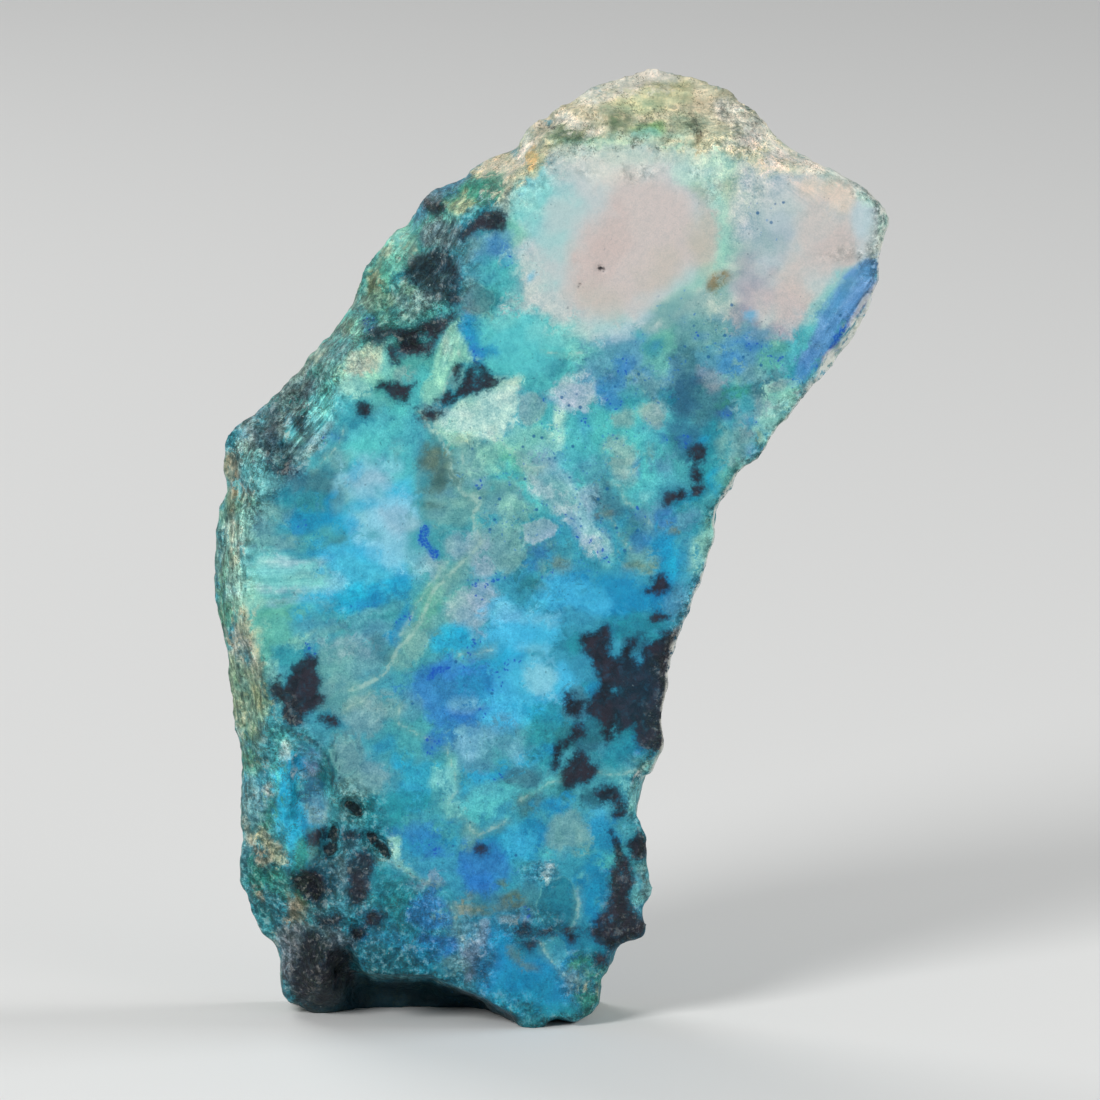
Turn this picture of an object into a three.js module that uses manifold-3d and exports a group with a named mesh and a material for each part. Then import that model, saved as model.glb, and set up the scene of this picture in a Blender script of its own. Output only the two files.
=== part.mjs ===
// A free-form slab of chrysocolla that stands upright on its cut base. One stone, in millimetres, +Z up.
// The polished face looks towards -Y, the sawn back towards +Y, and the origin is at the middle of the base.
import * as THREE from 'three';
import { mergeVertices } from 'three/addons/utils/BufferGeometryUtils.js';
import Module from 'manifold-3d';

// Driving dimensions
const THICKNESS = 22;
const UNIT = 0.145; // one unit of the drawing below

// The stone is drawn on a sheet, x to the right and y down, as it looks from a little above the horizon.
// So a point that lies deeper behind the polished face is drawn higher than its true place.
const VIEW_TILT = THREE.MathUtils.degToRad(10);
const SHEET_CENTRE_X = 550;
const SHEET_FLOOR_Y = 1030; // where the front of the base meets the ground
const GROUND_SIZE = 400; // the block that is taken off below the ground plane

// Mesh spacing, in drawing units
const SHEET_SIZE = 1100;
const RIM_STEPS = 264;
const SHOULDER_STEPS = 240;
const SHOULDER_CLEARANCE = 4;
const RIND_SPACING = 8;
const FACE_SPACING = 25;
const BACK_SPACING = 27;
const CLEARANCE = 0.55; // share of a spacing that is kept free round a point
const GRID_JITTER = 0.16; // share of a spacing by which a grid point strays

// Polished face, heights in millimetres and widths in drawing units
const ROLL_OFF = 0.5; // it falls this much towards its edge
const ROLL_WIDTH = 45;
const FACE_WAVE = 0.35;
const FACE_WAVE_SIZE = 120;

// Natural rind between the polished face and the rim, in millimetres
const RIND_POWER = 1.35; // it bends away slowly, then faster
const RIND_LUMP = 1.1;
const RIND_LUMP_SIZE = 5.5;
const CARVING_RANGE = [0.25, 1.1]; // a hollow or swelling fades out between these shares of its size
const CARVING_MESH_REACH = 1.4; // the fine mesh goes this far round it

// Hollow under the polished face
const CAVE_POWER = 6; // its ceiling turns back almost at once
const CAVE_RIM_DEPTH = [14, 16]; // the rim has a hollow above it where it lies this deep
const CAVE_SMOOTHNESS = 0.6;

// Broken side wall and sawn back, in millimetres
const WALL_LUMP = 1.5;
const WALL_LUMP_SIZE = 8;
const WALL_LUMP_BIAS = -0.3; // more dents than knobs
const WALL_LUMP_FADE = 0.3; // share of the way back over which the lumps grow to full size
const WALL_RELAX = 9; // the outline further back is the rim averaged over this many neighbours each way
const WALL_RELAX_FADE = 0.6;
const WALL_GROUND_FADE = [940, 1000]; // below these drawing heights the wall goes straight back to the base
const BACK_PIT = 0.25;
const BACK_PIT_SIZE = 60; // drawing units

// Rings of the side wall: share of the way to the back, and how far each has moved inwards in drawing units
const WALL_RINGS = [[0.16, 2], [0.36, 4], [0.58, 7], [0.8, 10], [0.95, 16], [1, 26]];

// The outer rim as [x, y, depth behind the polished face in millimetres], clockwise from the top.
const RIM = [
  // pale natural top
  [655, 67, 10], [668, 69, 10], [681, 75, 9.8], [698, 79, 9.5], [716, 87, 9], [731, 91, 8.5], [741, 101, 8],
  [760, 114, 7], [769, 127, 6.5], [780, 137, 6], [793, 150, 5], [801, 155, 4.5], [812, 158, 4], [818, 164, 3.2],
  // corner beside the blue vein
  [833, 168, 2.8], [842, 175, 2.4], [857, 183, 2.2], [869, 192, 2.1], [880, 200, 2.2], [887, 210, 2.4],
  [889, 222, 2.4], [885, 238, 2], [880, 252, 1.5], [879, 268, 1.3], [878, 284, 1.3], [873, 298, 1.8],
  [865, 312, 2.4], [859, 328, 3], [852, 344, 3.2], [838, 357, 3], [833, 368, 2.6], [822, 380, 1.8],
  // broken right side
  [811, 387, 1.3], [805, 397, 1.1], [798, 404, 1], [789, 418, 1], [779, 428, 1], [769, 446, 1], [758, 462, 1],
  [744, 469, 1], [736, 478, 1], [727, 492, 1], [721, 502, 1], [716, 513, 1], [715, 524, 1], [717, 538, 1],
  [711, 553, 1], [705, 574, 1], [698, 587, 1], [693, 603, 1.2], [686, 619, 1.5], [680, 638, 1.8],
  [673, 656, 1.8], [668, 671, 1.5], [667, 690, 1.2], [665, 712, 1], [664, 730, 1], [665, 745, 1.1],
  [661, 758, 1.6], [651, 770, 2.2], [640, 781, 2.2], [635, 792, 1.6], [634, 804, 1.2],
  // knobs of the lower right
  [638, 818, 1], [645, 830, 1], [649, 842, 1], [648, 856, 1], [648, 867, 1.2], [652, 877, 1.6], [655, 888, 1.8],
  [651, 898, 1.8], [644, 906, 1.6], [644, 916, 1.6], [647, 926, 1.8], [644, 936, 1.8], [637, 940, 1.6],
  [624, 944, 1.4], [614, 952, 1.2], [611, 965, 1.3], [605, 976, 1.4], [600, 985, 1.4], [600, 996, 1.4],
  [598, 1007, 1.5], [592, 1014, 1.5], [583, 1020, 1.4], [576, 1024, 1.3], [567, 1023, 1.2], [559, 1020, 1.1],
  [550, 1022, 1], [543, 1030, 1], [535, 1034, 1], [526, 1032, 1], [517, 1025, 1.2], [509, 1021, 3],
  // foot of the hollow, deep under the face
  [500, 1017, 9], [489, 1015, 15], [470, 1015, 16.5], [445, 1015, 16.8], [415, 1016, 17], [385, 1016, 16.6],
  [362, 1016, 16.2], [347, 1016, 15.2],
  // left foot
  [336, 1018, 14], [325, 1019, 13.4], [313, 1016, 12.6], [302, 1010, 12], [291, 1003, 11.5], [283, 997, 11],
  [279, 984, 10.6], [277, 968, 10.2], [275, 953, 10], [266, 941, 10], [261, 931, 10], [254, 921, 10],
  // left rind
  [244, 906, 9.8], [240, 893, 9.6], [238, 879, 9.4], [239, 862, 9.2], [240, 848, 9], [238, 828, 9],
  [236, 802, 9], [239, 785, 9], [240, 769, 9], [237, 750, 8.8], [233, 730, 8.6], [231, 711, 8.5],
  [228, 690, 8.4], [226, 668, 8.2], [223, 645, 8], [219, 626, 8], [215, 608, 8], [212, 589, 8], [211, 568, 8],
  [212, 546, 8], [214, 528, 7.6], [219, 514, 7], [222, 502, 6.4], [228, 491, 6], [226, 478, 6.2],
  [222, 465, 6.5], [221, 450, 6.8], [223, 438, 7], [228, 430, 7.2], [237, 421, 7.6], [249, 414, 8],
  // upper left rind
  [262, 408, 8.2], [272, 398, 8.4], [282, 388, 8.6], [292, 378, 8.8], [301, 367, 9], [307, 357, 9],
  [318, 345, 9], [329, 334, 9], [338, 325, 9], [344, 314, 9.2], [350, 303, 9.4], [356, 290, 9.5],
  [362, 275, 9.6], [368, 262, 9.8], [375, 252, 10], [386, 240, 10], [394, 230, 10], [404, 226, 10],
  [411, 217, 10], [416, 207, 10], [423, 198, 10], [434, 190, 10], [446, 184, 10], [456, 178, 9.9],
  [466, 169, 9.8], [476, 162, 9.6], [484, 157, 9.5], [496, 155, 9.3], [506, 151, 9.2], [515, 146, 9],
  [521, 137, 9], [528, 128, 9], [538, 120, 9], [549, 116, 9.2], [558, 106, 9.4], [569, 102, 9.5],
  [581, 93, 9.6], [597, 82, 9.8], [612, 78, 10], [627, 74, 10], [641, 68, 10],
];

// The edge of the polished face as [x, y], clockwise from its upper left corner.
const SHOULDER = [
  // under the natural top
  [515, 190], [530, 176], [550, 166], [572, 158], [600, 153], [640, 152], [675, 154], [705, 157], [735, 157],
  [765, 163], [792, 167], [812, 170], [832, 178], [852, 189], [868, 199], [877, 208], [881, 221],
  // right side, a narrow bevel away from the rim
  [876, 240], [872, 256], [871, 272], [868, 287], [860, 300], [850, 314], [842, 330], [829, 347], [822, 362],
  [813, 375], [802, 388], [793, 400], [783, 415], [774, 425], [763, 443], [753, 458], [740, 464], [731, 474],
  [721, 490], [715, 501], [710, 513], [709, 524], [711, 537], [705, 552], [699, 572], [692, 585], [686, 602],
  [678, 617], [671, 636], [663, 655], [661, 672], [661, 692], [659, 714], [658, 730], [658, 743], [653, 752],
  [643, 763], [633, 775], [628, 790], [628, 805],
  // knobs of the lower right
  [632, 820], [639, 832], [643, 843], [642, 856], [641, 869], [645, 879], [647, 888], [643, 895], [637, 904],
  [637, 916], [640, 926], [635, 933], [621, 938], [609, 948], [605, 962], [599, 972], [594, 983], [594, 995],
  [591, 1004], [584, 1011], [575, 1017], [567, 1016], [558, 1013], [547, 1015], [539, 1023], [534, 1027],
  [527, 1024], [518, 1017],
  // lip over the hollow
  [500, 1007], [482, 997], [464, 990], [449, 984], [436, 977], [418, 975], [396, 975], [378, 974], [364, 968],
  // lower left, along the ledge
  [353, 948], [345, 922], [340, 895], [345, 866], [358, 840], [357, 822], [346, 803], [337, 797], [334, 778],
  [324, 757], [309, 741], [291, 731], [276, 715],
  // left side
  [266, 690], [257, 662], [248, 632], [242, 602], [241, 568], [246, 534], [253, 504], [262, 483], [283, 470],
  [303, 457], [326, 436], [333, 408], [338, 380], [351, 352],
  // rough upper left
  [384, 336], [413, 323], [440, 317], [449, 300], [455, 275], [458, 247], [474, 223], [497, 204],
];

// Hollows in the natural surface: [x, y, half width, half height, turn in degrees, depth in millimetres].
const HOLLOWS = [
  [313, 788, 21, 48, -14, 1.8], // scoop under the ledge
  [352, 808, 15, 10, 40, 1.7],
  [330, 838, 12, 21, 14, 2.0],
  [378, 845, 9, 24, -38, 1.4], // pocket along the crack
  [306, 884, 19, 13, 12, 1.5],
  [354, 932, 14, 12, 0, 1.3],
  [432, 266, 26, 18, 0, 0.9], // druse of the upper left
  [443, 226, 17, 18, 20, 0.8],
  [412, 340, 22, 12, -12, 0.5],
  [277, 452, 13, 18, 0, 1.1],
  [293, 404, 14, 18, 40, 0.9],
  [382, 306, 9, 26, 30, 1.0], // cleft in the rind
];

// Swellings of the natural surface, in the same order, with the height in place of the depth.
const SWELLINGS = [
  [288, 800, 8, 66, 2, 1.3], // ridge beside the scoop
  [392, 252, 18, 28, 38, 1.2],
  [470, 182, 26, 13, -28, 0.9],
  [250, 436, 15, 16, 0, 1.0],
  [357, 310, 13, 22, 34, 0.8],
  [652, 92, 46, 13, 0, 0.9],
  [742, 118, 18, 14, 30, 0.8],
  [562, 130, 24, 12, -24, 0.8],
  [318, 968, 17, 30, 8, 1.3],
  [262, 858, 12, 40, -4, 0.8],
  [222, 568, 7, 34, 0, 0.7],
  [258, 744, 14, 24, 0, 0.7],
];

const MINERAL = { color: 0x2f9db0, roughness: 0.35, metalness: 0 };

const mix = THREE.MathUtils.lerp;
const smooth = THREE.MathUtils.smoothstep;

// Repeatable pseudo-random number from 0 to 1 for a lattice point.
function lattice(i, j, k) {
  const s = Math.sin(i * 127.1 + j * 311.7 + k * 74.7) * 43758.5453;
  return s - Math.floor(s);
}

// Smooth noise from -1 to 1.
function noise(x, y, z) {
  const [i, j, k] = [x, y, z].map(Math.floor);
  const [u, v, w] = [x - i, y - j, z - k].map((t) => t * t * (3 - 2 * t));
  const row = (b, c) => mix(lattice(i, j + b, k + c), lattice(i + 1, j + b, k + c), u);
  return 2 * mix(mix(row(0, 0), row(1, 0), v), mix(row(0, 1), row(1, 1), v), w) - 1;
}

function roughNoise(x, y, z) {
  return 0.65 * noise(x, y, z) + 0.35 * noise(2.3 * x + 9, 2.3 * y, 2.3 * z + 5);
}

// A closed curve through the given points, as evenly spaced samples.
function loop(points, count) {
  const curve = new THREE.CatmullRomCurve3(
    points.map(([x, y, depth = 0]) => new THREE.Vector3(x, y, depth)),
    true,
  );
  curve.arcLengthDivisions = 12 * count;
  return curve.getSpacedPoints(count).slice(0, count);
}

function inside(ring, x, y) {
  let within = false;
  ring.forEach((a, i) => {
    const b = ring[(i + 1) % ring.length];
    if (a.y > y !== b.y > y && x < a.x + ((y - a.y) / (b.y - a.y)) * (b.x - a.x)) within = !within;
  });
  return within;
}

// The nearest place on a closed ring: how far away it is, in drawing units, and its depth.
function nearest(ring, x, y) {
  let best = { distance: Infinity, depth: 0 };
  ring.forEach((a, i) => {
    const b = ring[(i + 1) % ring.length];
    const [dx, dy] = [b.x - a.x, b.y - a.y];
    const t = THREE.MathUtils.clamp(((x - a.x) * dx + (y - a.y) * dy) / (dx * dx + dy * dy), 0, 1);
    const distance = Math.hypot(x - a.x - t * dx, y - a.y - t * dy);
    if (distance < best.distance) best = { distance, depth: mix(a.z, b.z, t) };
  });
  return best;
}

// How far a point lies from the middle of a turned ellipse, as a share of its size.
function ellipseReach([cx, cy, halfWidth, halfHeight, turn], x, y) {
  const a = THREE.MathUtils.degToRad(turn);
  const [dx, dy] = [x - cx, y - cy];
  const across = (dx * Math.cos(a) + dy * Math.sin(a)) / halfWidth;
  const along = (dy * Math.cos(a) - dx * Math.sin(a)) / halfHeight;
  return Math.hypot(across, along);
}

function relief(list, x, y) {
  const bump = (one) => one[5] * (1 - smooth(ellipseReach(one, x, y), ...CARVING_RANGE));
  return list.reduce((sum, one) => sum + bump(one), 0);
}

const rim = loop(RIM, RIM_STEPS);
const shoulder = loop(SHOULDER, SHOULDER_STEPS);

// Depth of the front surface behind the plane of the polished face.
function frontDepth(x, y) {
  const edge = nearest(shoulder, x, y);
  const carved = relief(HOLLOWS, x, y) - relief(SWELLINGS, x, y);
  if (inside(shoulder, x, y)) {
    const away = smooth(edge.distance, 0, ROLL_WIDTH);
    const wave = FACE_WAVE * (0.5 + 0.5 * noise(x / FACE_WAVE_SIZE, y / FACE_WAVE_SIZE, 3));
    return Math.max(0, mix(ROLL_OFF, wave, away) + carved);
  }
  const outer = nearest(rim, x, y);
  const t = edge.distance / (edge.distance + outer.distance);
  const cave = smooth(outer.depth, ...CAVE_RIM_DEPTH);
  const fall = mix(t ** RIND_POWER, 1 - (1 - t) ** CAVE_POWER, cave);
  const size = RIND_LUMP_SIZE / UNIT;
  const swell = Math.sin(Math.PI * t) * (1 - CAVE_SMOOTHNESS * cave);
  const lump = RIND_LUMP * roughNoise(x / size, y / size, 11) * swell;
  return Math.max(0, mix(ROLL_OFF, outer.depth, fall) + lump + carved * (1 - t ** 4));
}

// A drawing point at some depth, as a point of the stone.
function place(x, y, depth) {
  const height = ((SHEET_FLOOR_Y - y) * UNIT - depth * Math.sin(VIEW_TILT)) / Math.cos(VIEW_TILT);
  return new THREE.Vector3((x - SHEET_CENTRE_X) * UNIT, depth - THICKNESS / 2, height);
}

// Adds points to a plan, leaving out those too close to what is already there.
function addPoints(plan, points, gap) {
  for (const p of points) {
    if (plan.every((q) => Math.hypot(p.x - q.x, p.y - q.y) >= gap)) plan.push(p);
  }
}

// Slightly unsettled triangular grid over the part of the sheet that a test accepts.
function grid(spacing, accepts) {
  const points = [];
  const row = spacing * Math.sqrt(0.75);
  for (let j = 0; j * row < SHEET_SIZE; j += 1) {
    for (let i = 0; i * spacing < SHEET_SIZE; i += 1) {
      const x = (i + (j % 2) / 2 + GRID_JITTER * (lattice(i, j, 1) - 0.5)) * spacing;
      const y = (j + GRID_JITTER * (lattice(i, j, 2) - 0.5)) * row;
      if (accepts(x, y)) points.push({ x, y });
    }
  }
  return points;
}

// Delaunay triangles of a plan, each facing the viewer, added point by point.
function triangulate(plan) {
  const far = 1e5;
  const points = [...plan, { x: -far, y: -far }, { x: 0, y: far }, { x: far, y: -far }];
  const circle = (i, j, k) => {
    const [a, b, c] = [points[i], points[j], points[k]];
    const [bx, by, cx, cy] = [b.x - a.x, b.y - a.y, c.x - a.x, c.y - a.y];
    const d = 2 * (bx * cy - by * cx);
    const ux = (cy * (bx * bx + by * by) - by * (cx * cx + cy * cy)) / d;
    const uy = (bx * (cx * cx + cy * cy) - cx * (bx * bx + by * by)) / d;
    return { corners: [i, j, k], x: a.x + ux, y: a.y + uy, r2: ux * ux + uy * uy };
  };
  let triangles = [circle(plan.length, plan.length + 1, plan.length + 2)];
  plan.forEach((p, n) => {
    const edges = new Map();
    triangles = triangles.filter((t) => {
      if ((p.x - t.x) ** 2 + (p.y - t.y) ** 2 >= t.r2) return true;
      t.corners.forEach((from, i) => {
        const to = t.corners[(i + 1) % 3];
        if (!edges.delete(`${to} ${from}`)) edges.set(`${from} ${to}`, [from, to]);
      });
      return false;
    });
    for (const [from, to] of edges.values()) triangles.push(circle(from, to, n));
  });
  return triangles.map((t) => t.corners).filter((corners) => corners.every((i) => i < plan.length));
}

// The triangles of a plan that lie within its first points, which are its closed edge.
function sheetTriangles(plan, edgeCount) {
  const edge = plan.slice(0, edgeCount);
  return triangulate(plan).filter(([a, b, c]) => {
    const x = (plan[a].x + plan[b].x + plan[c].x) / 3;
    const y = (plan[a].y + plan[b].y + plan[c].y) / 3;
    return inside(edge, x, y);
  });
}

// The rim with its teeth evened out, which is the outline of the break further back.
const relaxed = rim.map((p, i) => {
  const sum = new THREE.Vector3();
  for (let k = -WALL_RELAX; k <= WALL_RELAX; k += 1) sum.add(rim[(i + k + RIM_STEPS) % RIM_STEPS]);
  return sum.divideScalar(2 * WALL_RELAX + 1);
});

// One ring of the side wall, moved inwards across the direction of the rim and roughened.
function wallRing(share, inset) {
  return rim.map((p, i) => {
    const before = relaxed[(i + RIM_STEPS - 2) % RIM_STEPS];
    const after = relaxed[(i + 2) % RIM_STEPS];
    const length = Math.hypot(after.x - before.x, after.y - before.y);
    const [nx, ny] = [(after.y - before.y) / length, -(after.x - before.x) / length];
    const depth = mix(p.z, THICKNESS, share);
    const size = WALL_LUMP_SIZE / UNIT;
    const rough = roughNoise(p.x / size, p.y / size, depth / WALL_LUMP_SIZE) + WALL_LUMP_BIAS;
    const lump = (WALL_LUMP / UNIT) * rough * smooth(share, 0, WALL_LUMP_FADE);
    const freedom = 1 - smooth(p.y, ...WALL_GROUND_FADE);
    const even = freedom * smooth(share, 0, WALL_RELAX_FADE);
    const move = freedom * (lump - inset);
    const [x, y] = [mix(p.x, relaxed[i].x, even), mix(p.y, relaxed[i].y, even)];
    return { x: x + move * nx, y: y + move * ny, depth };
  });
}

// The whole stone before its base is cut: polished front, side wall and sawn back as one closed surface.
function stoneSurface() {
  const points = [];
  const faces = [];
  const add = ({ x, y }, depth) => points.push(place(x, y, depth)) - 1;

  const frontPlan = rim.map(({ x, y }) => ({ x, y }));
  const onStone = (x, y) => inside(rim, x, y) && nearest(rim, x, y).distance > CLEARANCE * RIND_SPACING;
  const carvings = [...HOLLOWS, ...SWELLINGS];
  const nearCarving = (x, y) => carvings.some((one) => ellipseReach(one, x, y) < CARVING_MESH_REACH);
  const onRough = (x, y) => onStone(x, y) && (!inside(shoulder, x, y) || nearCarving(x, y));
  addPoints(frontPlan, shoulder, SHOULDER_CLEARANCE);
  addPoints(frontPlan, grid(RIND_SPACING, onRough), CLEARANCE * RIND_SPACING);
  addPoints(frontPlan, grid(FACE_SPACING, onStone), CLEARANCE * FACE_SPACING);
  const front = frontPlan.map((p, i) => add(p, i < RIM_STEPS ? rim[i].z : frontDepth(p.x, p.y)));
  for (const [a, b, c] of sheetTriangles(frontPlan, RIM_STEPS)) faces.push([front[a], front[b], front[c]]);

  let ring = front.slice(0, RIM_STEPS);
  let edge;
  for (const [share, inset] of WALL_RINGS) {
    edge = wallRing(share, inset);
    const next = edge.map((p) => add(p, p.depth));
    ring.forEach((a, i) => {
      const b = ring[(i + 1) % RIM_STEPS];
      const [c, d] = [next[i], next[(i + 1) % RIM_STEPS]];
      faces.push([a, b, c], [b, d, c]);
    });
    ring = next;
  }

  const backPlan = edge.map(({ x, y }) => ({ x, y }));
  const onBack = (x, y) => inside(edge, x, y);
  addPoints(backPlan, grid(BACK_SPACING, onBack), CLEARANCE * BACK_SPACING);
  const back = backPlan.map((p, i) => {
    if (i < RIM_STEPS) return ring[i];
    return add(p, THICKNESS - BACK_PIT * (0.5 + 0.5 * noise(p.x / BACK_PIT_SIZE, p.y / BACK_PIT_SIZE, 7)));
  });
  for (const [a, b, c] of sheetTriangles(backPlan, RIM_STEPS)) faces.push([back[a], back[c], back[b]]);

  const geometry = new THREE.BufferGeometry().setFromPoints(points);
  geometry.setIndex(faces.flat());
  return geometry;
}

const wasm = await Module();
wasm.setup();

function solidOf(geometry) {
  const bare = geometry.clone();
  for (const name of ['normal', 'uv']) bare.deleteAttribute(name);
  const merged = mergeVertices(bare, 1e-4);
  return new wasm.Manifold(
    new wasm.Mesh({
      numProp: 3,
      vertProperties: new Float32Array(merged.getAttribute('position').array),
      triVerts: new Uint32Array(merged.index.array),
    }),
  );
}

function geometryOf(solid) {
  const mesh = solid.getMesh();
  const geometry = new THREE.BufferGeometry();
  geometry.setAttribute('position', new THREE.BufferAttribute(mesh.vertProperties, 3));
  geometry.setIndex(new THREE.BufferAttribute(mesh.triVerts, 1));
  geometry.computeVertexNormals();
  return geometry;
}

// The base is cut flat, so everything under the ground plane goes.
function cutBase(solid) {
  const ground = new THREE.BoxGeometry(GROUND_SIZE, GROUND_SIZE, GROUND_SIZE);
  return solid.subtract(solidOf(ground.translate(0, 0, -GROUND_SIZE / 2)));
}

const slab = new THREE.Mesh(
  geometryOf(cutBase(solidOf(stoneSurface()))),
  new THREE.MeshStandardMaterial(MINERAL),
);
slab.name = 'slab';

const stone = new THREE.Group();
stone.add(slab);
export default stone;
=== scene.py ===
# Looks of a free-form chrysocolla slab that stands upright on its cut base.
# Lengths are in metres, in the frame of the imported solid: the polished face looks towards -Y.
import math

import bmesh
import bpy
import numpy as np
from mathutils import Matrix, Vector


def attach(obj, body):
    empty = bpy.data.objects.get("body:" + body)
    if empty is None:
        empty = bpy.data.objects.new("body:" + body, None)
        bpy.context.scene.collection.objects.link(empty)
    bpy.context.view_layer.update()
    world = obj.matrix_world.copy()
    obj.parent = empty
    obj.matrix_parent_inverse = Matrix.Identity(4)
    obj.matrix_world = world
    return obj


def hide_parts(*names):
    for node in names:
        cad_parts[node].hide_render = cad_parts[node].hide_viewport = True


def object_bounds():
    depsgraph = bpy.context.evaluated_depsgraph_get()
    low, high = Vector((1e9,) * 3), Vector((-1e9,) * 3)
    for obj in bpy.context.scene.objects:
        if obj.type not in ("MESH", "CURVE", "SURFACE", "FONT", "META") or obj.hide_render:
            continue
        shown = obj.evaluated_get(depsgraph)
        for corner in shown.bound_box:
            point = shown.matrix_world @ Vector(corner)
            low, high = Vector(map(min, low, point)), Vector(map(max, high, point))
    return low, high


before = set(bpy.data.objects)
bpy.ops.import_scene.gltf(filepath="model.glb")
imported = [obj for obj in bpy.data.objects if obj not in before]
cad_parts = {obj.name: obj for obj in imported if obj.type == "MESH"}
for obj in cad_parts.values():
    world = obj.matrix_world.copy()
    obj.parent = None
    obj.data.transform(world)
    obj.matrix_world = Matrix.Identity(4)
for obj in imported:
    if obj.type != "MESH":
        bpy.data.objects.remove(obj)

cad_box = [list(corner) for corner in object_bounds()]
CAD_LOW, CAD_HIGH = (np.array(corner) for corner in cad_box)

# The stone is painted on a sheet, x to the right and y down, as it looks from a little above the horizon.
UNIT = 0.000145  # one unit of the sheet
VIEW_TILT = math.radians(10)
SHEET_SIZE = 1100
SHEET_CENTRE_X = 550
SHEET_FLOOR_Y = 1030

CAMERA_DISTANCE = 6.0  # far off with a long lens, so that the view is nearly parallel, like the sheet
CAMERA_CLIP = (0.05, 20.0)
SENSOR_WIDTH = 36.0  # millimetres, as the camera counts it

STONE_MIDDLE = (0, 0, 0.07)
# Soft lights as a name, a place, a width and a power
SOFTBOXES = [
    ("key", (-0.62, -0.92, 0.68), 0.45, 12.2),
    ("fill", (0.9, -0.9, 0.5), 0.9, 2.8),
    ("side light", (0.9, 0.1, 0.45), 0.5, 4.5),
    ("back light", (-0.5, 0.8, 0.7), 0.6, 4.5),
]
ROOM_COLOUR = (0.93, 0.95, 0.96, 1)
ROOM_LIGHT = 0.26
FLOOR_COLOUR = (0.72, 0.72, 0.71, 1)
FLOOR_ROUGHNESS = 0.8
FLOOR_HALF = 3.0  # half the width of the floor

# Surface of the stone
VOXEL = 0.00054  # keeps the stone under 200,000 triangles
SMOOTHING = 6 * (0.5, -0.53)  # shares of the way to the middle of the neighbours, there and back
POLISHED_DEPTH = (0.0003, 0.0007)  # the polish ends between these depths behind the face
POLISHED_FACING = (0.84, 0.975)  # and as the surface turns away from the front between these
ROUGH_DEPTH = (-0.001, 0.003)  # the rind sets in between these depths
SAWN_DEPTH = (0.0205, 0.0214)  # the sawn back sets in between these
SAWN_FACING = (0.7, 0.95)
FRONT_FACING = (0.3, 0.7)
LEFT_PART = (-0.028, -0.040)  # the left edge with its upright layers sets in between these places across
TOP_PART = (0.118, 0.128)  # the natural top with its level beds sets in between these heights
FOOT_HEIGHT = 0.0012  # no roughness reaches below this height, so the base stays flat

# Kinds of roughness as the height of the bumps and their size
LUMPS = (0.0006, 0.0042)
GRIT = (0.00042, 0.0018)
LAYERS = (0.00035, 0.0013)
BEDS = (0.0003, 0.0012)
CRAGS = (0.0003, 0.0028)
CHIPS = (0.00016, 0.0012)
WAVES = (0.00004, 0.009)
RIPPLES = (0.00002, 0.003)
SAW_MARKS = (0.00006, 0.0012)
RAGGED_POLISH = (0.0003, 0.003)
POCKET_DEPTH = 0.0006

# Markings, in units of the sheet
FACE_STRAY = 3  # how far a marking wanders on the face
BACK_STRAY = 34  # how much further it wanders towards the back
FRAY = 2.6  # how far its edge is frayed
FLECK_REACH = 16  # how far flecks are thrown from their own cloud
OVAL_FADE = (1.15, 0.55)  # an oval's amount sets in between these shares of its size
# The pale break of the right edge, partly painted rim highlight, sets in or ends between these places
WEDGE_LEFT = (780, 810)
WEDGE_TOP = (280, 300)
TURN_FOOT = (786, 774)
RIM_FOOT = (1010, 980)

FAR = 60.0  # how far outside a shape its margin is still counted, in units of the sheet
SHEEN = 0.015  # light that the polish throws back, taken off every mineral
DARKEST = 0.004  # what the sheen leaves of a mineral at least

# Minerals, each with the colour that it shows on the screen, sheen included
MINERALS = {
    "lagoon": "4798a6", "deep": "1f6a80", "abyss": "174f60", "teal": "2c8798", "dark teal": "2a6a72",
    "azure": "2386b2", "sky": "48b2d6", "cyan": "2aa6ce", "pale sky": "86c4d6", "cobalt": "3478b8",
    "royal": "2459ae", "indigo": "2a3f8c", "slate": "41727f", "ink blue": "2c5a78", "steel": "5a92ac",
    "turquoise": "56b8bc", "aqua": "78c4c2", "mint": "8cc8b8", "pale mint": "aed6c8", "sea green": "62ae9a",
    "malachite": "3c8f78", "moss": "50704f", "fern": "6aa062", "sage": "7c9c82", "grey teal": "6a9c9e",
    "grey": "88a6a6", "pearl": "b4c4bc", "rose": "c0b5b1", "blush": "bcaeaa", "peach": "dcc8b4",
    "ice": "adc4cc", "mist": "9db2be", "lilac": "94a2b2", "violet grey": "8f92a0", "cream": "cccab0",
    "chalk": "dcdaca", "straw": "c1c39c", "tan": "b8aa8c", "umber": "877a5e", "olive": "667052",
    "ochre": "dcb87c", "druse": "727e84", "plum": "34323a", "ink": "24292f", "rind shadow": "3c4a40",
    "clay": "8f8a74", "bone": "dcd8ca", "warm grey": "b0aea2", "dusk": "284a5a", "bronze": "4a6a66",
    "bluestone": "6594c2", "pale grey": "b2bebf", "vein green": "7fae9a", "vein cream": "aac8bc",
    # the pale rim colour is partly the stone's pale break and partly painted rim highlight
    "lake": "1f7088", "rim_pale_and_lit": "dcdcd2", "frost": "bcd6d6", "dot blue": "17608c", "night": "223c4a",
}

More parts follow.
